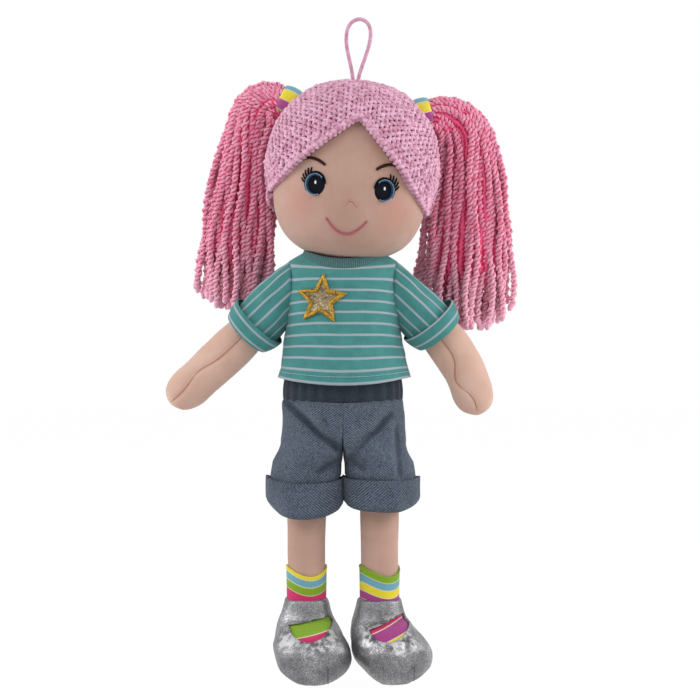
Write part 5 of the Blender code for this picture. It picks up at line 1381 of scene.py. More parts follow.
def strand_lines(name):
    """Guide lines of one pigtail's strands, fanned out from its tie and cut to one length."""
    side, reach, lean, length, half_width = PIGTAILS[name]
    middle, total, tie_length = pigtail_line(side, reach, lean, length)
    draw = random.Random(11 + side)
    lines = []
    strands, loose = 62, 3 if side > 0 else 0
    for number in range(strands + loose):
        radius = math.sqrt(min(number + 0.6, strands) / strands)
        angle = number * GOLDEN_ANGLE + draw.uniform(-0.15, 0.15)
        across, deep = radius * math.cos(angle), radius * math.sin(angle)
        stray = 0.0
        if number >= strands:
            across, deep, stray = 0.98, 0.2, (3 + 3 * (number - strands)) * MM
        wobble = draw.uniform(0, 9.0)
        cut = total * draw.uniform(1.075, 1.15)
        line = []
        walked = 0.0
        for step in range(0, len(middle)):
            share = max(step / (len(middle) - 1) * total - tie_length, 0.0) / (total - tie_length)
            (full,) = read_table(PIGTAIL_SHARES, share)
            wide = 6.3 * MM + (half_width - 1.8 * MM - 6.3 * MM) * full
            depth = 6.3 * MM + (16.5 * MM - 6.3 * MM) * full
            heading = (middle[min(step + 1, len(middle) - 1)] - middle[max(step - 1, 0)]).normalized()
            sideways = Vector((side * heading.z, 0, -side * heading.x)).normalized()
            wave = (0.5 + share) * 1.3 * MM * math.sin(share * 13.0 + wobble)
            wave += CRIMP * math.sin(math.tau * share * (total - tie_length) / CRIMP_LENGTH + 3 * wobble)
            inner = across > 0
            hug = 14 * MM * across * math.exp(-(((share - 0.16) / 0.15) ** 2)) if inner else 0.0
            wide_of_all = across * wide + wave + hug + stray * share**2
            point = middle[step] + sideways * wide_of_all + Vector((0, deep * depth, 0))
            point.y += 0.8 * MM * math.cos(share * 11.0 + 2 * wobble)
            point = kept_clear(point, STRAND_RADIUS) if share > 0.02 else point
            if line:
                walked += (point - line[-1]).length
            line.append(point)
            if walked > cut:
                break
        placed = [sleeve_clear(in_head(point), side) for point in line]
        lines.append((radius, placed))
    return lines


def pigtail_core(name, material):
    """The lumpy heart that shows between a pigtail's strands, its deep pink painted shade for the depths
    there.
    """
    side, reach, lean, length, half_width = PIGTAILS[name]
    middle, total, tie_length = pigtail_line(side, reach, lean, length)
    rows = []
    last = len(middle) - 1
    for step in range(0, int(last * 0.88), 2):
        share = max(step / last * total - tie_length, 0.0) / (total - tie_length)
        (full,) = read_table(PIGTAIL_SHARES, share)
        wide = 6.6 * MM + (half_width * 0.80 - 6.6 * MM) * full
        depth = 6.6 * MM + (12.6 * MM - 6.6 * MM) * full
        close = 1.0 if step < last * 0.78 else 1 - 0.45 * (step / last - 0.78) / 0.10
        heading = (middle[step + 1] - middle[max(step - 1, 0)]).normalized()
        sideways = Vector((0, 1, 0)).cross(heading).normalized()
        row = []
        for point in ring(middle[step], sideways, Vector((0, 1, 0)), wide * close, depth * close, 40):
            point += (point - middle[step]).normalized() * (noise.noise(point * 160.0) * 1.2 * MM)
            inward = (point - middle[step]).dot(sideways) * side
            if inward > 0:
                near_tie = math.exp(-(((share - 0.07) / 0.12) ** 2))
                point += sideways * (side * 13 * MM * min(inward / wide, 1.0) * near_tie)
            point = kept_clear(point, 0.4 * MM) if share > 0.005 else point
            row.append(sleeve_clear(in_head(point), side))
        rows.append(row)
    ends = [[sum(rows[0], Vector()) / 40] * 40, [sum(rows[-1], Vector()) / 40] * 40]
    return grid_piece("pigtail_core_" + name, [ends[0]] + rows + [ends[1]], material)


def build_pigtails():
    """Two pigtails of twisted yarn strands over a deep pink heart, and the ribbon tie round each. The heart,
    the inner strands and the hollows are painted deep, as painted shade; the low ends are painted lighter, as
    painted light.
    """
    # The low ends of the strands are painted lighter: painted light.
    light = yarn_finish("strand_yarn", STRAND_LIGHT, STRAND_DEEP, "hollow", PAINTED_LIGHT_STRAND_ENDS)
    # The hidden inner strands are a darker copy of the strand yarn: painted shade.
    inner = yarn_finish("inner_yarn", STRAND_DEEP, DEEP_RED_PAINTED_SHADE, "hollow", PAINTED_LIGHT_STRAND_ENDS)
    core = heart_shade_finish()
    tuft = yarn_finish("strand_end_yarn", (0.88, 0.52, 0.64), (0.72, 0.24, 0.38))
    for name, side in SIDES:
        lines = strand_lines(name)
        outer = [line for radius, line in lines if radius > 0.62]
        heart = [line for radius, line in lines if radius <= 0.62]
        body = "pigtail_" + name
        sizes = (1.08 * MM, 1.25 * MM, 6.4 * MM, 1.15 * MM)
        shown = yarns("pigtail_strands_" + name, outer, *sizes, light)
        hidden = yarns("pigtail_heart_" + name, heart, *sizes, inner)
        worn_by(shown, body, "pink_yarn", "pigtail_" + name)
        ends = [(line[-1], line[-1] - line[-4], Vector((0, -1, 0)), (2.0 * MM, 1.9 * MM, 3.4 * MM))
                for _, line in lines]
        worn_by(stitches("strand_ends_" + name, ends, 1.0 * MM, tuft, 8), body, "pink_yarn")
        worn_by(hidden, body, "pink_yarn")
        worn_by(pigtail_core(name, core), body, "pink_yarn")
        build_tie(name, side, body)


def build_tie(name, side, body):
    """The gathered striped ribbon round a pigtail's neck."""
    _, reach, lean, length, _ = PIGTAILS[name]
    middle, _, tie_length = pigtail_line(side, reach, lean, length)
    heading = (middle[4] - middle[0]).normalized()
    start = middle[0] + heading * (0.2 * MM)
    upward = Vector((-side * heading.z, 0, side * heading.x)).normalized()
    rows = []
    for t in np.linspace(0, 1, 15):
        row = []
        for step in range(64):
            angle = math.tau * step / 64
            fold = 0.30 * MM * math.cos(22 * angle) * math.sin(math.pi * t)
            edge = 0.5 * MM * math.exp(-((min(t, 1 - t) / 0.08) ** 2))
            radius = 9.7 * MM + fold - edge + 0.5 * MM * math.sin(math.pi * t)
            out = upward * (math.cos(angle) * radius) + Vector((0, 1, 0)) * (math.sin(angle) * radius)
            row.append(in_head(start + heading * (tie_length * t) + out))
        rows.append(row)
    tie = grid_piece("ribbon_tie_" + name, rows, ribbon_finish(name))
    thickened(tie, 1.0 * MM)
    worn_by(tie, body, "striped_ribbon", "hair_tie_" + name)


def ribbon_finish(name):
    """Shiny stretch ribbon with bands of colour round the tie, and white lines between them."""
    material, shader = finish("ribbon_" + name, 0.5, sheen=0.1, specular=0.4)
    bands = (
        ("pink", 0.0), ("green", 0.11), ("yellow", 0.22), ("blue", 0.33), ("pink", 0.44), ("green", 0.55),
        ("purple", 0.655), ("yellow", 0.785), ("blue", 0.915),
    )
    brighter = 1.05
    stops = []
    for number, (colour, start) in enumerate(bands):
        if number:
            stops.append((start - 0.010, THIN_LINE))
        stops.append((start, tuple(min(brighter * value, 0.8) for value in SOCK_COLOURS[colour])))
    parts = node(material, "SeparateXYZ", {"Vector": node(material, "TexCoord").outputs["UV"]})
    share = math_node(material, "DIVIDE", parts.outputs["X"], math.tau * 10.2 * MM)
    colour = ramp(material, share, stops, "CONSTANT")
    ribs = waves(material, place_of(material, source="UV"), waves_apart(0.8 * MM), "Y")
    coloured(material, shader, mixed(material, 0.25, colour, node_colour(material, ribs), "OVERLAY"))
    bumped(material, shader, ribs, 0.15 * MM, 0.5)
    return material


# Body, neck, arms and legs.


def build_body():
    """The stuffed body and neck under the clothes."""
    skin = skin_finish("body_jersey")
    centre = Vector((0, 0, BODY_CENTRE))
    rows = [[in_doll(point) for point in row]
            for row in form_rows(centre, BODY_HALF, BODY_SHARES, 0.0, 48, 3)]
    body = grid_piece("stuffed_body", rows, skin)
    worn_by(body, "torso", "peach_jersey", "torso_skin", "torso_stuffing")
    rows = []
    for share, size in ((0, 0.0), (0, 0.9), (0.15, 1.0), (0.85, 1.0), (1, 0.9), (1, 0.0)):
        middle = in_doll((0, 0, (268 + 22 * share) * MM))
        rows.append(ring(middle, Vector((1, 0, 0)), Vector((0, 1, 0)), 15 * MM * size, 12 * MM * size, 32))
    neck = smoothed(grid_piece("stuffed_neck", rows, skin))
    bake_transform(neck)
    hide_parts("neck")


ARMS = {
    "right": (-1, math.radians(44.5), math.radians(51.0), 110 * MM),
    "left": (1, math.radians(48.5), math.radians(2.0), 101.5 * MM),
}


def arm_line(name):
    """Points and headings along the middle of an arm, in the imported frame."""
    side, upper, lower, length = ARMS[name]
    inset, steps = 6.4 * MM, 120

    def heading(share):
        along = max(share * length - inset, 0.0) / length
        angle = upper + (lower - upper) * along**1.6
        return Vector((side * math.sin(angle), 0, -math.cos(angle)))

    point = in_doll((side * SHOULDER[0], 0, SHOULDER[1])) - heading(0) * inset
    points, headings = [point], [heading(0)]
    for step in range(steps):
        points.append(points[-1] + heading((step + 0.5) / steps) * (length / steps))
        headings.append(heading((step + 1) / steps))
    return points, headings


def along_line(points, headings, share):
    """The point and heading at a share of a line with even steps."""
    place = min(max(share, 0.0), 1.0) * (len(points) - 1)
    index = min(int(place), len(points) - 2)
    part = place - index
    heading = headings[index].lerp(headings[index + 1], part).normalized()
    point = points[index].lerp(points[index + 1], part) + heading * (max(share - 1, 0.0) * 0.1)
    return point, heading


def limb_rows(points, headings, normal_at, shares, size, grow, sides, steps=4, sink=None):
    """Rows of points round a limb; sink gives how far a point at a share and angle lies in."""
    rows = []
    for share, wide, deep in fine_rows(shares, steps):
        share = min(max(share, 0.0), 1.0)
        point, heading = along_line(points, headings, share)
        normal = normal_at(share)
        across = normal.cross(heading).normalized()
        if wide <= 0:
            rows.append([point] * sides)
            continue
        row = []
        for side in range(sides):
            angle = math.tau * side / sides
            reach = 1 - (sink(share, angle) if sink else 0.0)
            out = across * ((wide * size[0] + grow) * math.cos(angle) * reach)
            row.append(point + out + normal * ((deep * size[1] + grow) * math.sin(angle) * reach))
        rows.append(row)
    return rows


def build_arms():
    """Two stuffed arms with a seam down the front, sewn in an orange thread."""
    # The arms' skin is a lighter copy of the peach jersey: painted light.
    skin = skin_finish("arm_jersey", shade=ARMS_LIT_DEEP_PEACH, light=ARMS_LIT_PEACH)
    seam_thread = thread_finish("seam_thread", (0.50, 0.19, 0.11), (0.40, 0.13, 0.07), 0.8, 0.1)
    front = -math.pi / 2
    for name, side in SIDES:
        points, headings = arm_line(name)

        def swing(share):
            kink = math.exp(-(((share - 0.74) / 0.10) ** 2))
            return 0.25 * kink if side < 0 else 0.30 * (1 - share) + 0.62 * kink

        def sunk(share, angle):
            off = (angle - front - swing(share) + math.pi) % math.tau - math.pi
            near = math.exp(-((off / 0.13) ** 2)) * (1 if 0.02 < share < 0.97 else 0)
            wrist = math.exp(-(((share - 0.70) / 0.035) ** 2)) * math.exp(-((off / 0.9) ** 2))
            return 0.075 * near + 0.045 * wrist

        rows = limb_rows(points, headings, lambda share: Vector((0, 1, 0)), ARM_SHARES,
                         (14.5 * MM, 13 * MM), 0.0, 72, 6, sunk)
        arm = grid_piece("stuffed_arm_" + name, rows, skin)
        moved(arm, lambda point: point + noise.noise_vector(point * 70.0) * (0.45 * MM))
        worn_by(arm, "arm_" + name, "peach_jersey", "arm_skin_" + name, "arm_stuffing_" + name)
        laid = []
        for share in np.linspace(0.27, 0.975, 52):
            point, heading = along_line(points, headings, share)
            wide, deep = read_table([tuple(row) for row in fine_rows(ARM_SHARES, 6)], share)
            across = Vector((0, 1, 0)).cross(heading).normalized()
            angle = front + swing(share)
            place = point + across * (wide * 14.5 * MM * 0.945 * math.cos(angle))
            place += Vector((0, deep * 13 * MM * 0.945 * math.sin(angle), 0))
            way = (place - laid[-1][0]) if laid else heading
            laid.append((place, way, (place - point).normalized(), (0.26 * MM, 0.24 * MM, 0.85 * MM)))
        seam = stitches("arm_seam_" + name, laid, 0.25 * MM, seam_thread)
        worn_by(seam, "arm_" + name, "peach_jersey")


LEGS = {
    "right": (-1, math.radians(14.0), math.radians(10.0), 12 * MM),
    "left": (1, math.radians(30.0), math.radians(20.0), 7.2 * MM),
}
LEG_LENGTH = 116.8 * MM
ANKLE_RADIUS = 21 * MM
FOOT_DROOP = math.radians(23.0)
FOOT_LENGTH = 22 * MM
LEG_TOTAL = LEG_LENGTH + ANKLE_RADIUS * (math.pi / 2 - FOOT_DROOP) + FOOT_LENGTH
LEG_HALF = 12.4 * MM


def leg_line(name):
    """Points and headings along the middle of a leg and foot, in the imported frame."""
    steps = 200
    side, yaw, _, _ = LEGS[name]
    forward = Vector((math.sin(yaw), -math.cos(yaw), 0))
    bend = math.pi / 2 - FOOT_DROOP

    def heading(share):
        angle = min(max((share * LEG_TOTAL - LEG_LENGTH) / ANKLE_RADIUS, 0.0), bend)
        return Vector((0, 0, -1)) * math.cos(angle) + forward * math.sin(angle)

    points, headings = [in_doll((side * HIP[0], 0, HIP_SEAM_TOP))], [heading(0)]
    for step in range(steps):
        points.append(points[-1] + heading((step + 0.5) / steps) * (LEG_TOTAL / steps))
        headings.append(heading((step + 1) / steps))
    return points, headings


def leg_normal(name, share):
    """The line across a leg at a share of it, which turns with the foot."""
    turn = LEGS[name][1] * min(max(share * LEG_TOTAL / LEG_LENGTH, 0.0), 1.0)
    return Vector((math.cos(turn), math.sin(turn), 0))


def leg_rows(name):
    """Rows round a leg from the hip to the toes."""
    points, headings = leg_line(name)
    table = [(share, deep, wide) for share, wide, deep in LEG_SHARES]
    return limb_rows(points, headings, lambda share: leg_normal(name, share), table,
                     (LEG_HALF, LEG_HALF), 0.0, 64, 5)


def build_legs():
    """Two stuffed legs, each with its banded sock, glitter shoe and sole."""
    skin = skin_finish("leg_jersey")
    for name, _ in SIDES:
        rows = leg_rows(name)
        middle = sum(rows[0], Vector()) / len(rows[0])
        leg = grid_piece("stuffed_leg_" + name, [[middle] * len(rows[0])] + rows, skin)
        moved(leg, lambda point: point + noise.noise_vector(point * 60.0) * (0.35 * MM))
        worn_by(leg, "leg_" + name, "peach_jersey", "leg_skin_" + name, "leg_stuffing_" + name)
        build_sock(name)
        build_shoe(name)


# Bands of each sock from its top, then those that the shoe's cut-out shows, each with its width.
SOCK_BANDS = {
    "right": (("yellow", 2.9), ("blue", 5.3), ("green", 5.6), ("pink", 35.3)),
    "left": (("green", 5.2), ("blue", 5.3), ("yellow", 5.4), ("purple", 5.3), ("pink", 30.0)),
}
CUTOUT_BANDS = {
    "right": (("green", 12.8), ("pink", 20.0)),
    "left": (("pink", 7.6), ("purple", 7.4), ("yellow", 20.0)),
}


# How far across from the doll's middle each toe seam lies.
TOE_SEAMS = {"right": -9.541 * MM, "left": 45.797 * MM}


def build_sock(name):
    """A knitted sock with coloured bands round it, that sag in front."""
    start = (LEG_LENGTH - 34 * MM) / LEG_TOTAL
    reach = LEG_LENGTH - 8 * MM - start * LEG_TOTAL
    bands = [(colour, width * MM) for colour, width in SOCK_BANDS[name]]
    material = banded_finish("sock_" + name + "_knit", bands, sum(width for _, width in bands), 0.95 * MM)
    points, headings = leg_line(name)
    forward = headings[-1].copy()
    forward.z = 0
    forward.normalize()
    rows, sizes = [], []
    sides = 64
    for step in range(31):
        distance = reach * step / 30
        share = start + distance / LEG_TOTAL
        point, heading = along_line(points, headings, share)
        wide, deep = read_table(LEG_SHARES, share)
        normal = leg_normal(name, share)
        across = normal.cross(heading).normalized()
        roll = 0.35 * MM * math.exp(-((distance - 0.8 * MM) / MM) ** 2)
        row = []
        for spot in ring(Vector(), across, normal, deep * LEG_HALF + 1.1 * MM + roll,
                         wide * LEG_HALF + 1.1 * MM + roll, sides):
            front = max(spot.normalized().dot(forward), -0.2)
            sag = 4.5 * MM * (front + 0.2) ** 2 * (1 - 0.35 * distance / reach)
            row.append(point + spot - Vector((0, 0, sag)))
        rows.append(row)
        sizes.append(distance)
    top, _ = along_line(points, headings, start)
    lip = [point + (top - point) * 0.09 - Vector((0, 0, (top - point).z * 0.09)) for point in rows[0]]
    deeper = [point - Vector((0, 0, 3 * MM)) for point in lip]
    sock = grid_piece("banded_sock_" + name, [deeper, lip] + rows, material, sizes=[0.0, 0.0] + sizes)
    foot = sock_foot(name, points, headings)
    thickened(sock, 0.6 * MM)
    sock = joined("knitted_sock_" + name, [sock, foot])
    worn_by(sock, "leg_" + name, "striped_knit", "sock_" + name)


def sock_foot(name, points, headings):
    """The sock's foot inside the shoe, its bands straight across as the cut-out shows them."""
    bands = [(colour, width * MM) for colour, width in CUTOUT_BANDS[name]]
    length = sum(width for _, width in bands)
    material = banded_finish("sock_foot_" + name + "_knit", bands, length, 0.95 * MM)
    rows = shoe_rows(name, -1.25 * MM, (LEG_LENGTH - 9 * MM) / LEG_TOTAL, 3.5 * MM)
    foot = grid_piece("sock_foot_" + name, rows, material)
    plane = sole_plane(name)
    middle = along_line(points, headings, 0.86)[0]
    moved(foot, lambda point: above_sole(puffed(point, middle), plane, 2.0 * MM))
    outline = half_moon(name)
    centre = (outline[0] + outline[-1]) / 2
    roll = LEGS[name][2] * 1.15
    below = Vector((math.sin(roll), 0, -math.cos(roll)))
    layer = foot.data.uv_layers.active.data
    for loop in foot.data.loops:
        depth = (foot.data.vertices[loop.vertex_index].co - centre).dot(below) + 5 * MM
        layer[loop.index].uv.y = min(max(depth, 0.0), length * 0.999)
    return foot


def puffed(point, middle):
    """Press soft lumps into a shoe, and into the sock under it, out from the middle of the foot."""
    lumps = noise.noise(point * 95.0) * 0.8 * MM + noise.noise(point * 240.0) * 0.35 * MM
    return point + (point - middle).normalized() * lumps


def sole_plane(name):
    """A point over a shoe's sole, the way down to it and how far down it lies."""
    points, headings = leg_line(name)
    toe, heading = along_line(points, headings, 1.0)
    down = heading.cross(leg_normal(name, 1.0))
    return toe, (down if down.z < 0 else -down), LEG_HALF + 2.6 * MM


def above_sole(point, plane, spare=0.0):
    """Keep a point of a shoe or its sock above the sole."""
    toe, down, floor = plane
    return point - down * max((point - toe).dot(down) - floor + spare, 0.0)


def shoe_rows(name, grow, from_share, toe_room=6 * MM):
    """Rows round the puffed shoe, from its top edge to the toe."""
    sides = 72
    puffs = [tuple(row) for row in fine_rows([(part, puff, puff) for part, puff in SHOE_SHARES], 4)]
    points, headings = leg_line(name)
    table = [(share, wide, deep) for share, wide, deep in LEG_SHARES if share > from_share]
    table.insert(0, (from_share, *read_table(LEG_SHARES, from_share)))
    reach = 1 + toe_room / LEG_TOTAL - from_share
    rows = []
    for share, wide_share, deep_share in fine_rows(table, 6):
        part = (min(share, 1.0) - from_share) / (1 - from_share)
        place = from_share + reach * part
        point, heading = along_line(points, headings, min(place, 1.0))
        point = point + heading * (max(place - 1, 0.0) * LEG_TOTAL)
        puff, _ = read_table(puffs, part)
        normal = leg_normal(name, place)
        across = normal.cross(heading).normalized()
        inside = 1.7 * MM + grow
        if wide_share <= 0:
            rows.append([point] * sides)
            continue
        wide = max(wide_share, 0) * LEG_HALF + inside + puff * 9.2 * MM
        deep = max(deep_share, 0) * LEG_HALF + inside + puff * 5.2 * MM
        row = []
        for side in range(sides):
            angle = math.tau * side / sides
            row.append(point + across * (deep * math.cos(angle)) + normal * (wide * math.sin(angle)))
        rows.append(row)
    return rows


def build_shoe(name):
    """A padded glitter shoe with a half-moon cut-out, a toe seam and a flat sole."""
    outline = half_moon(name)
    front = Vector((0, -18 * MM, 0))
    # Places of the painted highlights on the shoe: round the cut-out and above it.
    shoe_highlight_places = [tuple(outline[number] + front) for number in (2, 12, 22)]
    shoe_highlight_places.append(tuple((outline[0] + outline[-1]) / 2 + front + Vector((0, 0, 8 * MM))))
    dark, light, grain = (0.080, 0.080, 0.084), (0.52, 0.52, 0.54), 0.5 * MM
    silver = glitter_finish("silver_glitter_" + name, dark, light, grain, 0.44, 0.7, 0.55, shoe_highlight_places)
    share = (LEG_LENGTH - 12 * MM) / LEG_TOTAL
    rows = shoe_rows(name, 0.0, share)
    points, headings = leg_line(name)
    top_point, _ = along_line(points, headings, share)
    turned_in = [top_point + (point - top_point) * 0.92 for point in rows[0]]
    shell = grid_piece("glitter_shoe_" + name, [turned_in] + rows, silver)
    plane = sole_plane(name)
    middle = along_line(points, headings, 0.86)[0]
    moved(shell, lambda point: above_sole(puffed(point, middle), plane))
    thickened(shell, 1.0 * MM)
    cut_half_moon(shell, name)
    worn_by(shell, "leg_" + name, "silver_cloth", "shoe_upper_" + name)
    build_sole(name)
    build_toe_seam(name, shell)


def half_moon(name):
    """The outline of a shoe's cut-out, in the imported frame."""
    _, _, roll, _ = LEGS[name]
    points, headings = leg_line(name)
    middle, _ = along_line(points, headings, (LEG_TOTAL - FOOT_LENGTH) / LEG_TOTAL)
    centre = Vector((middle.x, middle.y, in_doll((0, 0, 45.5 * MM)).z))
    along = Vector((math.cos(roll), 0, math.sin(roll)))
    below = Vector((math.sin(roll), 0, -math.cos(roll)))
    outline = []
    for step in range(25):
        angle = math.pi * step / 24
        outline.append(centre + along * (14.5 * MM * math.cos(angle)) + below * (11 * MM * math.sin(angle)))
    return outline


def cut_half_moon(shell, name):
    """Take the half-moon out of a shoe's front."""
    outline = half_moon(name)
    mesh = bpy.data.meshes.new("half_moon")
    front = [point - Vector((0, 60 * MM, 0)) for point in outline]
    outline = [point + Vector((0, 8 * MM, 0)) for point in outline]
    count = len(outline)
    faces = [tuple(range(count)), tuple(range(count, 2 * count))]
    for side in range(count):
        after = (side + 1) % count
        faces.append((side, after, count + after, count + side))
    mesh.from_pydata(front + outline, [], faces)
    faced(mesh)
    cutter = mesh_object("half_moon", mesh, shell.data.materials[0])
    opening = shell.modifiers.new("opening", "BOOLEAN")
    opening.operation = "DIFFERENCE"
    opening.solver = "EXACT"
    opening.object = cutter
    settled(shell)
    bpy.data.objects.remove(cutter, do_unlink=True)


def build_sole(name):
    """The flat sole under a shoe."""
    dark, light, grain = (0.14, 0.14, 0.15), (0.45, 0.45, 0.47), 0.9 * MM
    material = glitter_finish("sole_cloth_" + name, dark, light, grain, 0.6, 0.3)
    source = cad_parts["shoe_sole_" + name]
    work = bmesh.new()
    work.from_mesh(source.data)
    bmesh.ops.remove_doubles(work, verts=work.verts, dist=0.02 * MM)
    mesh = bpy.data.meshes.new("shoe_sole_cloth_" + name)
    work.to_mesh(mesh)
    work.free()
    sole = mesh_object("shoe_sole_cloth_" + name, mesh, material)
    edge = sole.modifiers.new("soft_edge", "BEVEL")
    edge.width = 0.6 * MM
    edge.segments = 2
    edge.limit_method = "ANGLE"
    settled(sole)
    worn_by(sole, "leg_" + name, "sole_cloth", "shoe_sole_" + name)


def build_toe_seam(name, shell):
    """A line of dark stitches down the middle of a shoe's toe."""
    dark = thread_finish("shoe_thread_" + name, (0.06, 0.06, 0.07), (0.03, 0.03, 0.03), 0.6)
    work = bmesh.new()
    work.from_mesh(shell.data)
    tree = BVHTree.FromBMesh(work)
    work.free()
    across = in_doll((TOE_SEAMS[name], 0, 0)).x
    laid = []
    for z in np.linspace(18.5 * MM, 3.5 * MM, 12):
        up = in_doll((0, 0, z)).z
        hit, out, _, _ = tree.ray_cast(Vector((across, -0.3, up)), Vector((0, 1, 0)))
        if hit is not None:
            out = out if out.y < 0 else -out
            laid.append((hit + out * (0.1 * MM), Vector((0, 0, -1)), out, (0.34 * MM, 0.3 * MM, 0.5 * MM)))
    seam = stitches("toe_seam_" + name, laid, 0.3 * MM, dark)
    worn_by(seam, "leg_" + name, "silver_cloth")


# T-shirt.

SHIRT_TOP = 277.5 * MM
SHIRT_HEM = 203.5 * MM
SHIRT_ANGLES = [math.tau * (side / 128) - math.pi / 2 for side in range(128)]


def body_sizes(up):
    """The body's half width and half depth at a height above the soles."""
    wide, deep = read_table(SMOOTH_BODY, (up - BODY_CENTRE) / BODY_HALF[2])
    return wide * BODY_HALF[0], deep * BODY_HALF[1]


SMOOTH_BODY = [tuple(max(value, 0.0) if number else value for number, value in enumerate(row))
               for row in fine_rows(BODY_SHARES, 6)]


def shirt_point(up, angle, lift=0.0):
    """A point of the shirt at a height and an angle from the doll's left, counted over its back."""
    wide, deep = body_sizes(up)
    near_hem = min(max((SHIRT_TOP - up) / (SHIRT_TOP - SHIRT_HEM), 0.0), 1.0)
    ease = 1.7 * MM + 6.6 * MM * near_hem**2 + lift
    ripple = 0.9 * MM * near_hem**2 * math.cos(5 * angle)
    pull = 0.7 * MM * (1 - near_hem) * math.sin(9 * angle + 60 * up / MM * 0.02)
    place = Vector((math.cos(angle) * 1.6, math.sin(angle) * 1.6, up * 55.0))
    soft = noise.noise(place) * 1.1 * MM + noise.noise(place * 2.3) * 0.5 * MM
    drop = 5 * MM * near_hem**3 * math.sin(angle) ** 2
    drop += 2.8 * MM * (1 - near_hem) * near_hem * 4 * math.cos(angle) ** 4
    reach = ease + ripple + (pull * 0.3 + soft) * min(4 * near_hem, 1.0)
    shoulder = min(max((up - 262 * MM) / (14 * MM), 0.0), 1.0) ** 1.5 * math.cos(angle) ** 2
    across = (wide + reach + 3.0 * MM * shoulder) * math.cos(angle)
    return Vector((across, (deep + reach) * math.sin(angle), up - drop + 3.6 * MM * shoulder))


def shirt_row(up, lift=0.0):
    """A row of points round the shirt at a height, from the middle of its front."""
    return [shirt_point(up, angle, lift) for angle in SHIRT_ANGLES]


def build_shirt():
    """The striped T-shirt's body: from the neck over the shoulders to the turned hem."""
    material = striped_jersey_finish("shirt_jersey", offset=-0.25 * MM, hem=72.6 * MM)
    count, inner_count, inner_step = 60, 8, 0.9 * MM
    rows, sizes = [], []
    top = shirt_row(SHIRT_TOP - 1.0 * MM)
    for share in (1.0, 0.75, 0.5, 0.25):
        row = []
        for point, angle in zip(top, SHIRT_ANGLES):
            neck = Vector((25.6 * MM * math.cos(angle), 17.6 * MM * math.sin(angle), 282.5 * MM))
            neck.z += 3.0 * MM * math.cos(angle) ** 2 - 5.5 * MM * max(-math.sin(angle), 0.0)
            row.append(in_doll(point.lerp(neck, share)))
        rows.append(row)
        sizes.append(-1.2 * MM * share)
    for number in range(1, count + 1):
        up = SHIRT_TOP + (SHIRT_HEM - SHIRT_TOP) * number / count
        rows.append([in_doll(point) for point in shirt_row(up)])
        sizes.append((SHIRT_TOP - up) + 0.2 * MM)
    for number in range(inner_count):
        rows.append([in_doll(point) for point in shirt_row(SHIRT_HEM + number * inner_step, -1.3 * MM)])
    sizes += [sizes[-1] + 0.5 * MM + inner_step * number for number in range(inner_count)]
    shirt = grid_piece("striped_shirt", rows, material, sizes)
    thickened(shirt, 0.8 * MM)
    worn_by(shirt, "torso", "teal_jersey", "shirt_front", "shirt_back")


def build_hem_stitches():
    """The overlock line round the shirt's hem."""
    thread = thread_finish("hem_thread", (0.50, 0.58, 0.62), (0.30, 0.42, 0.45), 0.6)
    laid = []
    count = 260
    for step in range(count):
        angle = math.tau * step / count
        place = in_doll(shirt_point(SHIRT_HEM + 4.6 * MM, angle, 0.35 * MM))
        ahead = in_doll(shirt_point(SHIRT_HEM + 4.6 * MM, angle + 0.02, 0.35 * MM))
        out = Vector((math.cos(angle), math.sin(angle), 0))
        laid.append((place, ahead - place, out, (0.22 * MM, 0.2 * MM, 0.42 * MM)))
    worn_by(stitches("hem_stitches", laid, 0.25 * MM, thread), "torso", "teal_jersey")


def build_neckband():
    """The ribbed neckband under the chin."""
    wide, deep = 27.2 * MM, 19.8 * MM
    rows = []
    for t in np.linspace(0, 1, 9):
        swell = 0.7 * MM * math.sin(math.pi * t) - 1.6 * MM * t
        row = []
        for point in ring(Vector(), Vector((1, 0, 0)), Vector((0, 1, 0)), wide + swell, deep + swell, 96):
            side_share = (point.x / wide) ** 2
            point.z = (272.0 + 5.5 * side_share + (8.8 + 1.4 * side_share) * t) * MM
            row.append(in_doll(point))
        rows.append(row)
    band = grid_piece("neckband_rib", rows, neckband_shaded_finish())
    thickened(band, 0.9 * MM)
    worn_by(band, "torso", "pale_rib", "neckband")


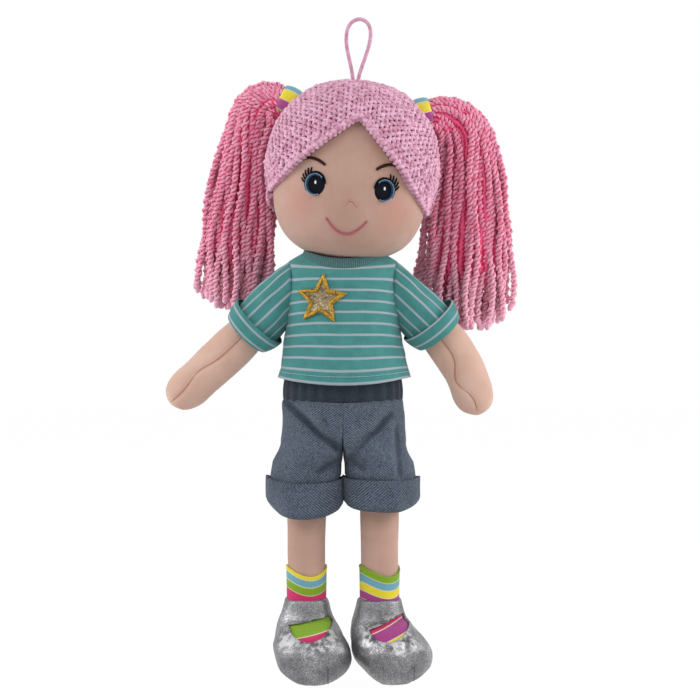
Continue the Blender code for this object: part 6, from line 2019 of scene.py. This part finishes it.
def build_sleeves():
    """Two sleeves striped along the arm, and their turned-up cuffs striped round it."""
    sleeve_cloth = striped_jersey_finish("sleeve_jersey", across=True, pitch=7.6 * MM)
    for name, side in SIDES:
        points, headings = arm_line(name)
        length, inset, arm_length = 34.5 * MM, 6.4 * MM, ARMS[name][3]
        seam_middle = in_doll((side * 34.5 * MM, 0, 259.4 * MM))
        cuff_depth = 11.0 * MM
        down, back = Vector((0, 0, -side)), Vector((0, 1, 0))
        sides = 96
        end, heading = along_line(points, headings, (length + inset) / arm_length)
        across = back.cross(heading).normalized()

        def sleeve_row(t):
            near = ring(seam_middle, down, back, 20.8 * MM, 11.5 * MM, sides)
            far = ring(end, across, back, 15.8 * MM, 16 * MM, sides)
            row = []
            for number, (first, last) in enumerate(zip(near, far)):
                point = first.lerp(last, t)
                middle = seam_middle.lerp(end, t)
                out = (point - middle).normalized()
                angle = math.tau * number / sides
                bow = math.sin(math.pi * t)
                upper = max(math.cos(angle), 0.0)
                puff = 1.7 * MM * bow * (0.7 + 0.3 * math.cos(4 * angle + 1.0))
                fold = 0.8 * MM * math.sin(7 * angle + 5 * t) * (1 - t) * bow
                crease = noise.noise(point * 75.0) * MM * min(4 * t, 1.0)
                sag = heading * (-4.0 * MM * math.sin(angle) * t**2)
                lift = Vector((0, 0, upper * bow * 0.8 * MM))
                row.append(point + out * (puff + fold + crease) + sag + lift)
            return row

        rows = [sleeve_row(t) for t in np.linspace(0.0, 1.0, 26)]
        inward = Vector((-side * 1.5 * MM, 0, 0))
        tucked = [seam_middle + (point - seam_middle) * 0.9 + inward for point in rows[0]]
        rows.insert(0, tucked)
        sleeve = grid_piece("striped_sleeve_" + name, rows, sleeve_cloth)
        thickened(sleeve, 0.8 * MM)
        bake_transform(sleeve)
        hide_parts("sleeve_" + name)

        offset = -0.8 * MM if name == "right" else 2.0 * MM
        cuff_cloth = striped_jersey_finish("cuff_jersey_" + name, offset=offset)

        def cuff_row(back_by, grow):
            share = back_by / cuff_depth
            wide, deep = (15.8 + 3.0 * share) * MM + grow, (16.0 + 1.2 * share) * MM + grow
            row = []
            for number, point in enumerate(ring(end - heading * back_by, across, back, wide, deep, sides)):
                angle = math.tau * number / sides
                out = (point - end + heading * back_by).normalized()
                crease = noise.noise(point * 75.0) * 0.5 * MM
                row.append(point + out * crease - heading * (4.0 * MM * math.sin(angle)))
            return row

        outer = [cuff_row(cuff_depth * (1 - t), (1.6 + 0.8 * math.sin(math.pi * t)) * MM)
                 for t in np.linspace(0.0, 1.0, 12)]
        lip = [cuff_row(cuff_depth + 0.3 * MM, grow) for grow in (0.5 * MM, 1.2 * MM)]
        fold = [cuff_row(-0.4 * MM, grow) for grow in (1.3 * MM, 0.2 * MM)]
        inner = [cuff_row(back_by, -1.4 * MM) for back_by in np.linspace(0.0, 5.0 * MM, 4)]
        cuff = grid_piece("turned_cuff_" + name, lip + outer + fold + inner, cuff_cloth)
        thickened(cuff, 0.5 * MM)
        worn_by(cuff, "arm_" + name, "teal_jersey", "sleeve_cuff_" + name)


def build_star():
    """The gold star: satin stitches round a glitter centre."""
    gold = thread_finish("gold_satin", GOLD, (0.13, 0.062, 0.003), 0.36, 0.5, 0.45, 750.0)
    glitter = glitter_finish("gold_glitter", (0.05, 0.03, 0.01), (0.60, 0.46, 0.26), 0.8 * MM, 0.45, 0.4)
    middle, radius, inner_share, turn = (-13.6 * MM, 254.2 * MM), 17.7 * MM, 0.46, math.radians(-5.0)

    def on_shirt(x, z, lift):
        wide, deep = body_sizes(z)
        near_hem = min(max((SHIRT_TOP - z) / (SHIRT_TOP - SHIRT_HEM), 0.0), 1.0)
        reach = 1.7 * MM + 6.6 * MM * near_hem**2
        angle = -math.acos(min(max(x / (wide + reach), -1.0), 1.0))
        point = shirt_point(z, angle, lift)
        out = Vector((math.cos(angle) / wide, math.sin(angle) / deep, 0)).normalized()
        return point, out

    def corner(number, share):
        angle = turn + math.pi * number / 5
        reach = radius * share * (1.0 if number % 2 == 0 else inner_share)
        return Vector((middle[0] - reach * math.sin(angle), 0, middle[1] + reach * math.cos(angle)))

    laid = []
    for number in range(10):
        here, there = corner(number, 1.0), corner(number + 1, 1.0)
        near, far = corner(number, 0.62), corner(number + 1, 0.62)
        count = 12
        for step in range(count):
            t = step / count
            rim, inside = here.lerp(there, t), near.lerp(far, min(t + 0.10, 1.0))
            centre = (rim + inside) / 2
            width = min((rim - inside).length, 4.9 * MM)
            place, out = on_shirt(centre.x, centre.z, 0.9 * MM)
            ahead = on_shirt(rim.x, rim.z, 0.9 * MM)[0] - on_shirt(inside.x, inside.z, 0.9 * MM)[0]
            laid.append((in_doll(place), ahead, out, (0.60 * MM, 1.15 * MM, width / 2 + 0.3 * MM)))
    border = stitches("star_satin_border", laid, 0.5 * MM, gold)
    worn_by(border, "torso", "gold_thread", "star_border")
    rings, parts, rim_share = 6, 6, 0.80

    def star_row(share, lift):
        row = []
        for number in range(10):
            for part in range(parts):
                spot = corner(number, share).lerp(corner(number + 1, share), part / parts)
                row.append(in_doll(on_shirt(spot.x, spot.z, lift)[0]))
        return row

    rows = [star_row(rim_share * number / rings, 0.75 * MM) for number in range(rings + 1)]
    rows += [star_row(rim_share, -0.3 * MM), star_row(0.0, -0.3 * MM)]
    centre_piece = grid_piece("star_glitter_centre", rows, glitter)
    worn_by(centre_piece, "torso", "gold_glitter", "star_centre")


# Shorts.

WAIST_TOP = 204 * MM
SHORTS_TOP = 183.7 * MM
SHORTS_HEM = 123.5 * MM
TURNUP_START = 1 - 16 * MM / (SHORTS_TOP - SHORTS_HEM)
SHORTS_CREASES = (
    (-35.9, 185.9, -5.0, 158.5, 3.3, 2.8),
    (-12.5, 176.0, -2.0, 160.0, 2.0, 2.4),
    (30.3, 178.1, 8.9, 155.6, 2.5, 2.8),
    (15.8, 168.8, 3.7, 158.3, 1.6, 2.6),
    (34.5, 174.0, 37.0, 142.0, 1.6, 2.4),
    (-16.0, 142.0, -3.5, 151.0, 1.8, 3.0),
    (14.0, 144.0, 4.0, 152.0, 1.4, 2.8),
)
BACK_CREASES = (
    (-24.0, 182.0, -4.0, 160.0, 1.6, 2.4),
    (24.0, 182.0, 4.0, 160.0, 1.6, 2.4),
    (-30.0, 160.0, -8.0, 150.0, 1.2, 2.2),
    (30.0, 162.0, 8.0, 151.0, 1.2, 2.2),
)


def creased(point):
    """How far a point of the shorts lies in a fold, or up on its shoulder."""
    creases = SHORTS_CREASES if point.y < 0 else BACK_CREASES
    flat = Vector((point.x, point.z))
    sunk = 0.0
    for x0, z0, x1, z1, depth, width in creases:
        first, last = Vector((x0, z0)) * MM, Vector((x1, z1)) * MM
        run = last - first
        t = (flat - first).dot(run) / run.length_squared
        fade = math.exp(-(max(-t, t - 1, 0.0) / 0.12) ** 2)
        off = (flat - first - run * t).length / (width * MM)
        sunk += depth * MM * fade * (math.exp(-(off**2)) - 0.45 * math.exp(-((off - 2.0) ** 2)))
    return sunk


def seat_and_leg_row(name, height, grow, part, bounds, crease=True):
    """A row round one half of the shorts: from the seat's D shape to a round leg."""
    sides = 96
    side, _, _, hem_dip = LEGS[name]
    (turn_share,) = read_table(SHORTS_SHARES, part)
    seat_bound, crotch_bound, leg_bound = bounds
    closing = min(part / 0.42, 1.0)
    tuck = min(max(1 - (TURNUP_START - part) / (TURNUP_START * 0.03), 0.0), 1.0)
    seat_bound += (crotch_bound - seat_bound) * closing
    bound = seat_bound + (leg_bound - seat_bound) * tuck
    lean = min(part / 0.35, 1.0)
    waist_wide, waist_deep = 37.4 * MM + 3.1 * MM * lean, 27.9 * MM - 1.4 * MM * lean
    outer_steps = round(sides * 0.75)
    inner_steps = sides - outer_steps
    row = []
    for step in range(sides):
        if step <= outer_steps:
            along = step / outer_steps
            seat_angle = math.pi * (along - 0.5)
            leg_angle = math.tau * 0.72 * (along - 0.5)
            seat_x = max((waist_wide + grow) * math.cos(seat_angle), seat_bound)
            seat_y = (waist_deep + grow) * math.sin(seat_angle)
        else:
            along = (step - outer_steps) / inner_steps
            leg_angle = math.pi * 0.72 + math.tau * 0.28 * along
            seat_x = seat_bound
            seat_y = (waist_deep + grow) * (1 - 2 * along)
        ripple = 0.9 * MM * part * math.cos(5 * leg_angle)
        between = 25.5 * MM - 0.9 * MM * min(max((part - 0.53) / 0.08, 0.0), 1.0)
        half_wide = 22.4 * MM if math.cos(leg_angle) > 0 else between
        leg_x = 25.2 * MM + (half_wide + ripple + grow) * math.cos(leg_angle)
        leg_y = (21.5 * MM + ripple + grow) * math.sin(leg_angle)
        flat = abs(math.sin(leg_angle))
        outer_drop = (1.5 if side > 0 else 0.45) * MM * part * max(math.cos(leg_angle), 0.0)
        drop = hem_dip * part**3 * flat + outer_drop
        x = max(seat_x + (leg_x - seat_x) * turn_share, bound)
        y = seat_y + (leg_y - seat_y) * turn_share
        point = Vector((side * x, y, height - drop))
        if crease:
            middle = Vector((side * 20 * MM, 0, point.z))
            out = (point - middle).normalized()
            fade = min(part * 8, 1.0)
            across = point.x
            held = min(max((side * across - 1.0 * MM) / (4 * MM), 0.0), 1.0)
            soft = noise.noise(point * 60.0) * 0.8 * MM
            point = point + out * ((soft - creased(point)) * fade)
            point.x = across + (point.x - across) * held
        row.append(point)
    return row


def waist_lifted(point, part):
    """Raise the top of the shorts to the waistband's lower edge, higher at the sides than in the middle."""
    near = max(1 - part / 0.35, 0.0)
    side_share = min(abs(point.x) / (40 * MM), 1.0) ** 2
    return point + Vector((0, 0, (3.4 * MM + 5.0 * MM * side_share) * near**2))


def shade_folds(piece):
    """Keep on every point of a piece how deep it lies in a fold, for the painted shade in its folds."""
    kept = piece.data.attributes.new("fold", "FLOAT", "POINT")
    values = []
    for vertex in piece.data.vertices:
        place = vertex.co + HANG_POINT
        values.append(min(max(0.35 + creased(place) / (3.2 * MM), 0.0), 1.0))
    kept.data.foreach_set("value", values)


def build_fly():
    """The line of stitches down the front seam of the shorts."""
    dark = thread_finish("seam_dark_thread", (0.03, 0.04, 0.06), (0.02, 0.025, 0.035), 0.8)
    laid = []
    for up in np.linspace(180.5 * MM, 160 * MM, 15):
        near = min((SHORTS_TOP - up) / (SHORTS_TOP - SHORTS_HEM) / 0.35, 1.0)
        deep = 27.9 * MM - 1.4 * MM * near
        laid.append((in_doll((-1.6 * MM, -deep - 0.05 * MM, up)), Vector((0, 0, -1)), Vector((0, -1, 0)),
                     (0.28 * MM, 0.25 * MM, 0.55 * MM)))
    worn_by(stitches("front_seam", laid, 0.3 * MM, dark), "torso", "denim")


def build_shorts():
    """The denim shorts: gathered waistband, two creased halves and two turn-ups."""
    denim = denim_finish("shorts_denim")
    rows = []
    for t in np.linspace(0, 1, 14):
        up = WAIST_TOP - 20 * MM * t
        wide, deep = body_sizes(up)
        row = []
        for step in range(180):
            angle = math.tau * step / 180 - math.pi / 2
            gather = 0.55 * MM * math.sin(26 * angle + 1.4 * math.sin(3 * angle))
            gather *= 0.4 + 0.6 * math.sin(math.pi * t)
            lean = 2.1 * MM + gather + 0.9 * MM * t
            row.append(in_doll(Vector(((wide + lean) * math.cos(angle), (deep + lean) * math.sin(angle),
                                       up + 2.2 * MM * t * abs(math.cos(angle)) ** 3))))
        rows.append(row)
    # The waistband's denim is painted darker, as the shade under the shirt's hem.
    band = grid_piece("denim_waistband", rows, denim_finish("waistband_denim", 1.0, 0.30))
    thickened(band, 0.9 * MM, 0.0)
    worn_by(band, "torso", "denim", "shorts_waistband", "waist_elastic")
    pale = denim_finish("turnup_denim", -1.0, 0.92)
    middle = -0.05 * MM
    turnup_inside = middle + 2.4 * MM
    leg_outside = turnup_inside + 0.3 * MM
    build_fly()
    for name, side in SIDES:
        rows = []
        count = 46
        for number in range(count + 1):
            part = number / count
            height = SHORTS_TOP + (SHORTS_HEM - SHORTS_TOP) * part
            grow = 1.9 * MM * max(1 - part / 0.4, 0.0) - 2.6 * MM * max(1 - part / 0.03, 0.0)
            rows.append([in_doll(waist_lifted(point, part)) for point in
                         seat_and_leg_row(name, height, grow, part, (middle, middle, leg_outside))])
        half = grid_piece("denim_half_" + name, rows, denim)
        shade_folds(half)
        thickened(half, 1.0 * MM)
        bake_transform(half)
        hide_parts("shorts_" + name)
        walls = []
        for grow, parts in ((2.6 * MM, np.linspace(TURNUP_START, 1.0, 11)), (0.4 * MM, (1.0, 0.93, 0.85))):
            for part in parts:
                height = SHORTS_TOP + (SHORTS_HEM - SHORTS_TOP) * part
                if grow > 1 * MM:
                    grow = 2.6 * MM + 0.5 * MM * math.cos(8 * (part - TURNUP_START))
                    grow -= 1.7 * MM * max((part - 0.94) / 0.06, 0.0) ** 2
                bound = middle if grow > 1 * MM else turnup_inside
                walls.append([in_doll(point) for point in
                              seat_and_leg_row(name, height, grow, part, (bound,) * 3, crease=False)])
        top_height = SHORTS_TOP + (SHORTS_HEM - SHORTS_TOP) * TURNUP_START
        top = seat_and_leg_row(name, top_height, 0.9 * MM, TURNUP_START, (middle,) * 3, crease=False)
        walls.insert(0, [in_doll(point) for point in top])
        turnup = grid_piece("denim_turnup_" + name, walls, pale)
        moved(turnup, lambda point: point + noise.noise_vector(point * 90.0) * (0.5 * MM))
        thickened(turnup, 0.6 * MM)
        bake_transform(turnup)
        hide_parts("turnup_" + name)


# A fixed start for the uneven surfaces, so that each run gives the same shapes.
CREASE_SEED = 7


def build_doll():
    """Make every piece of the doll."""
    set_studio()
    noise.seed_set(CREASE_SEED)
    build_loop()
    head, tree = head_surface()
    worn_by(head, "head", "peach_jersey", "head_skin", "head_stuffing")
    build_face(tree)
    build_hair()
    build_pigtails()
    build_body()
    build_shirt()
    build_hem_stitches()
    build_neckband()
    build_sleeves()
    build_star()
    build_arms()
    build_shorts()
    build_legs()


build_doll()
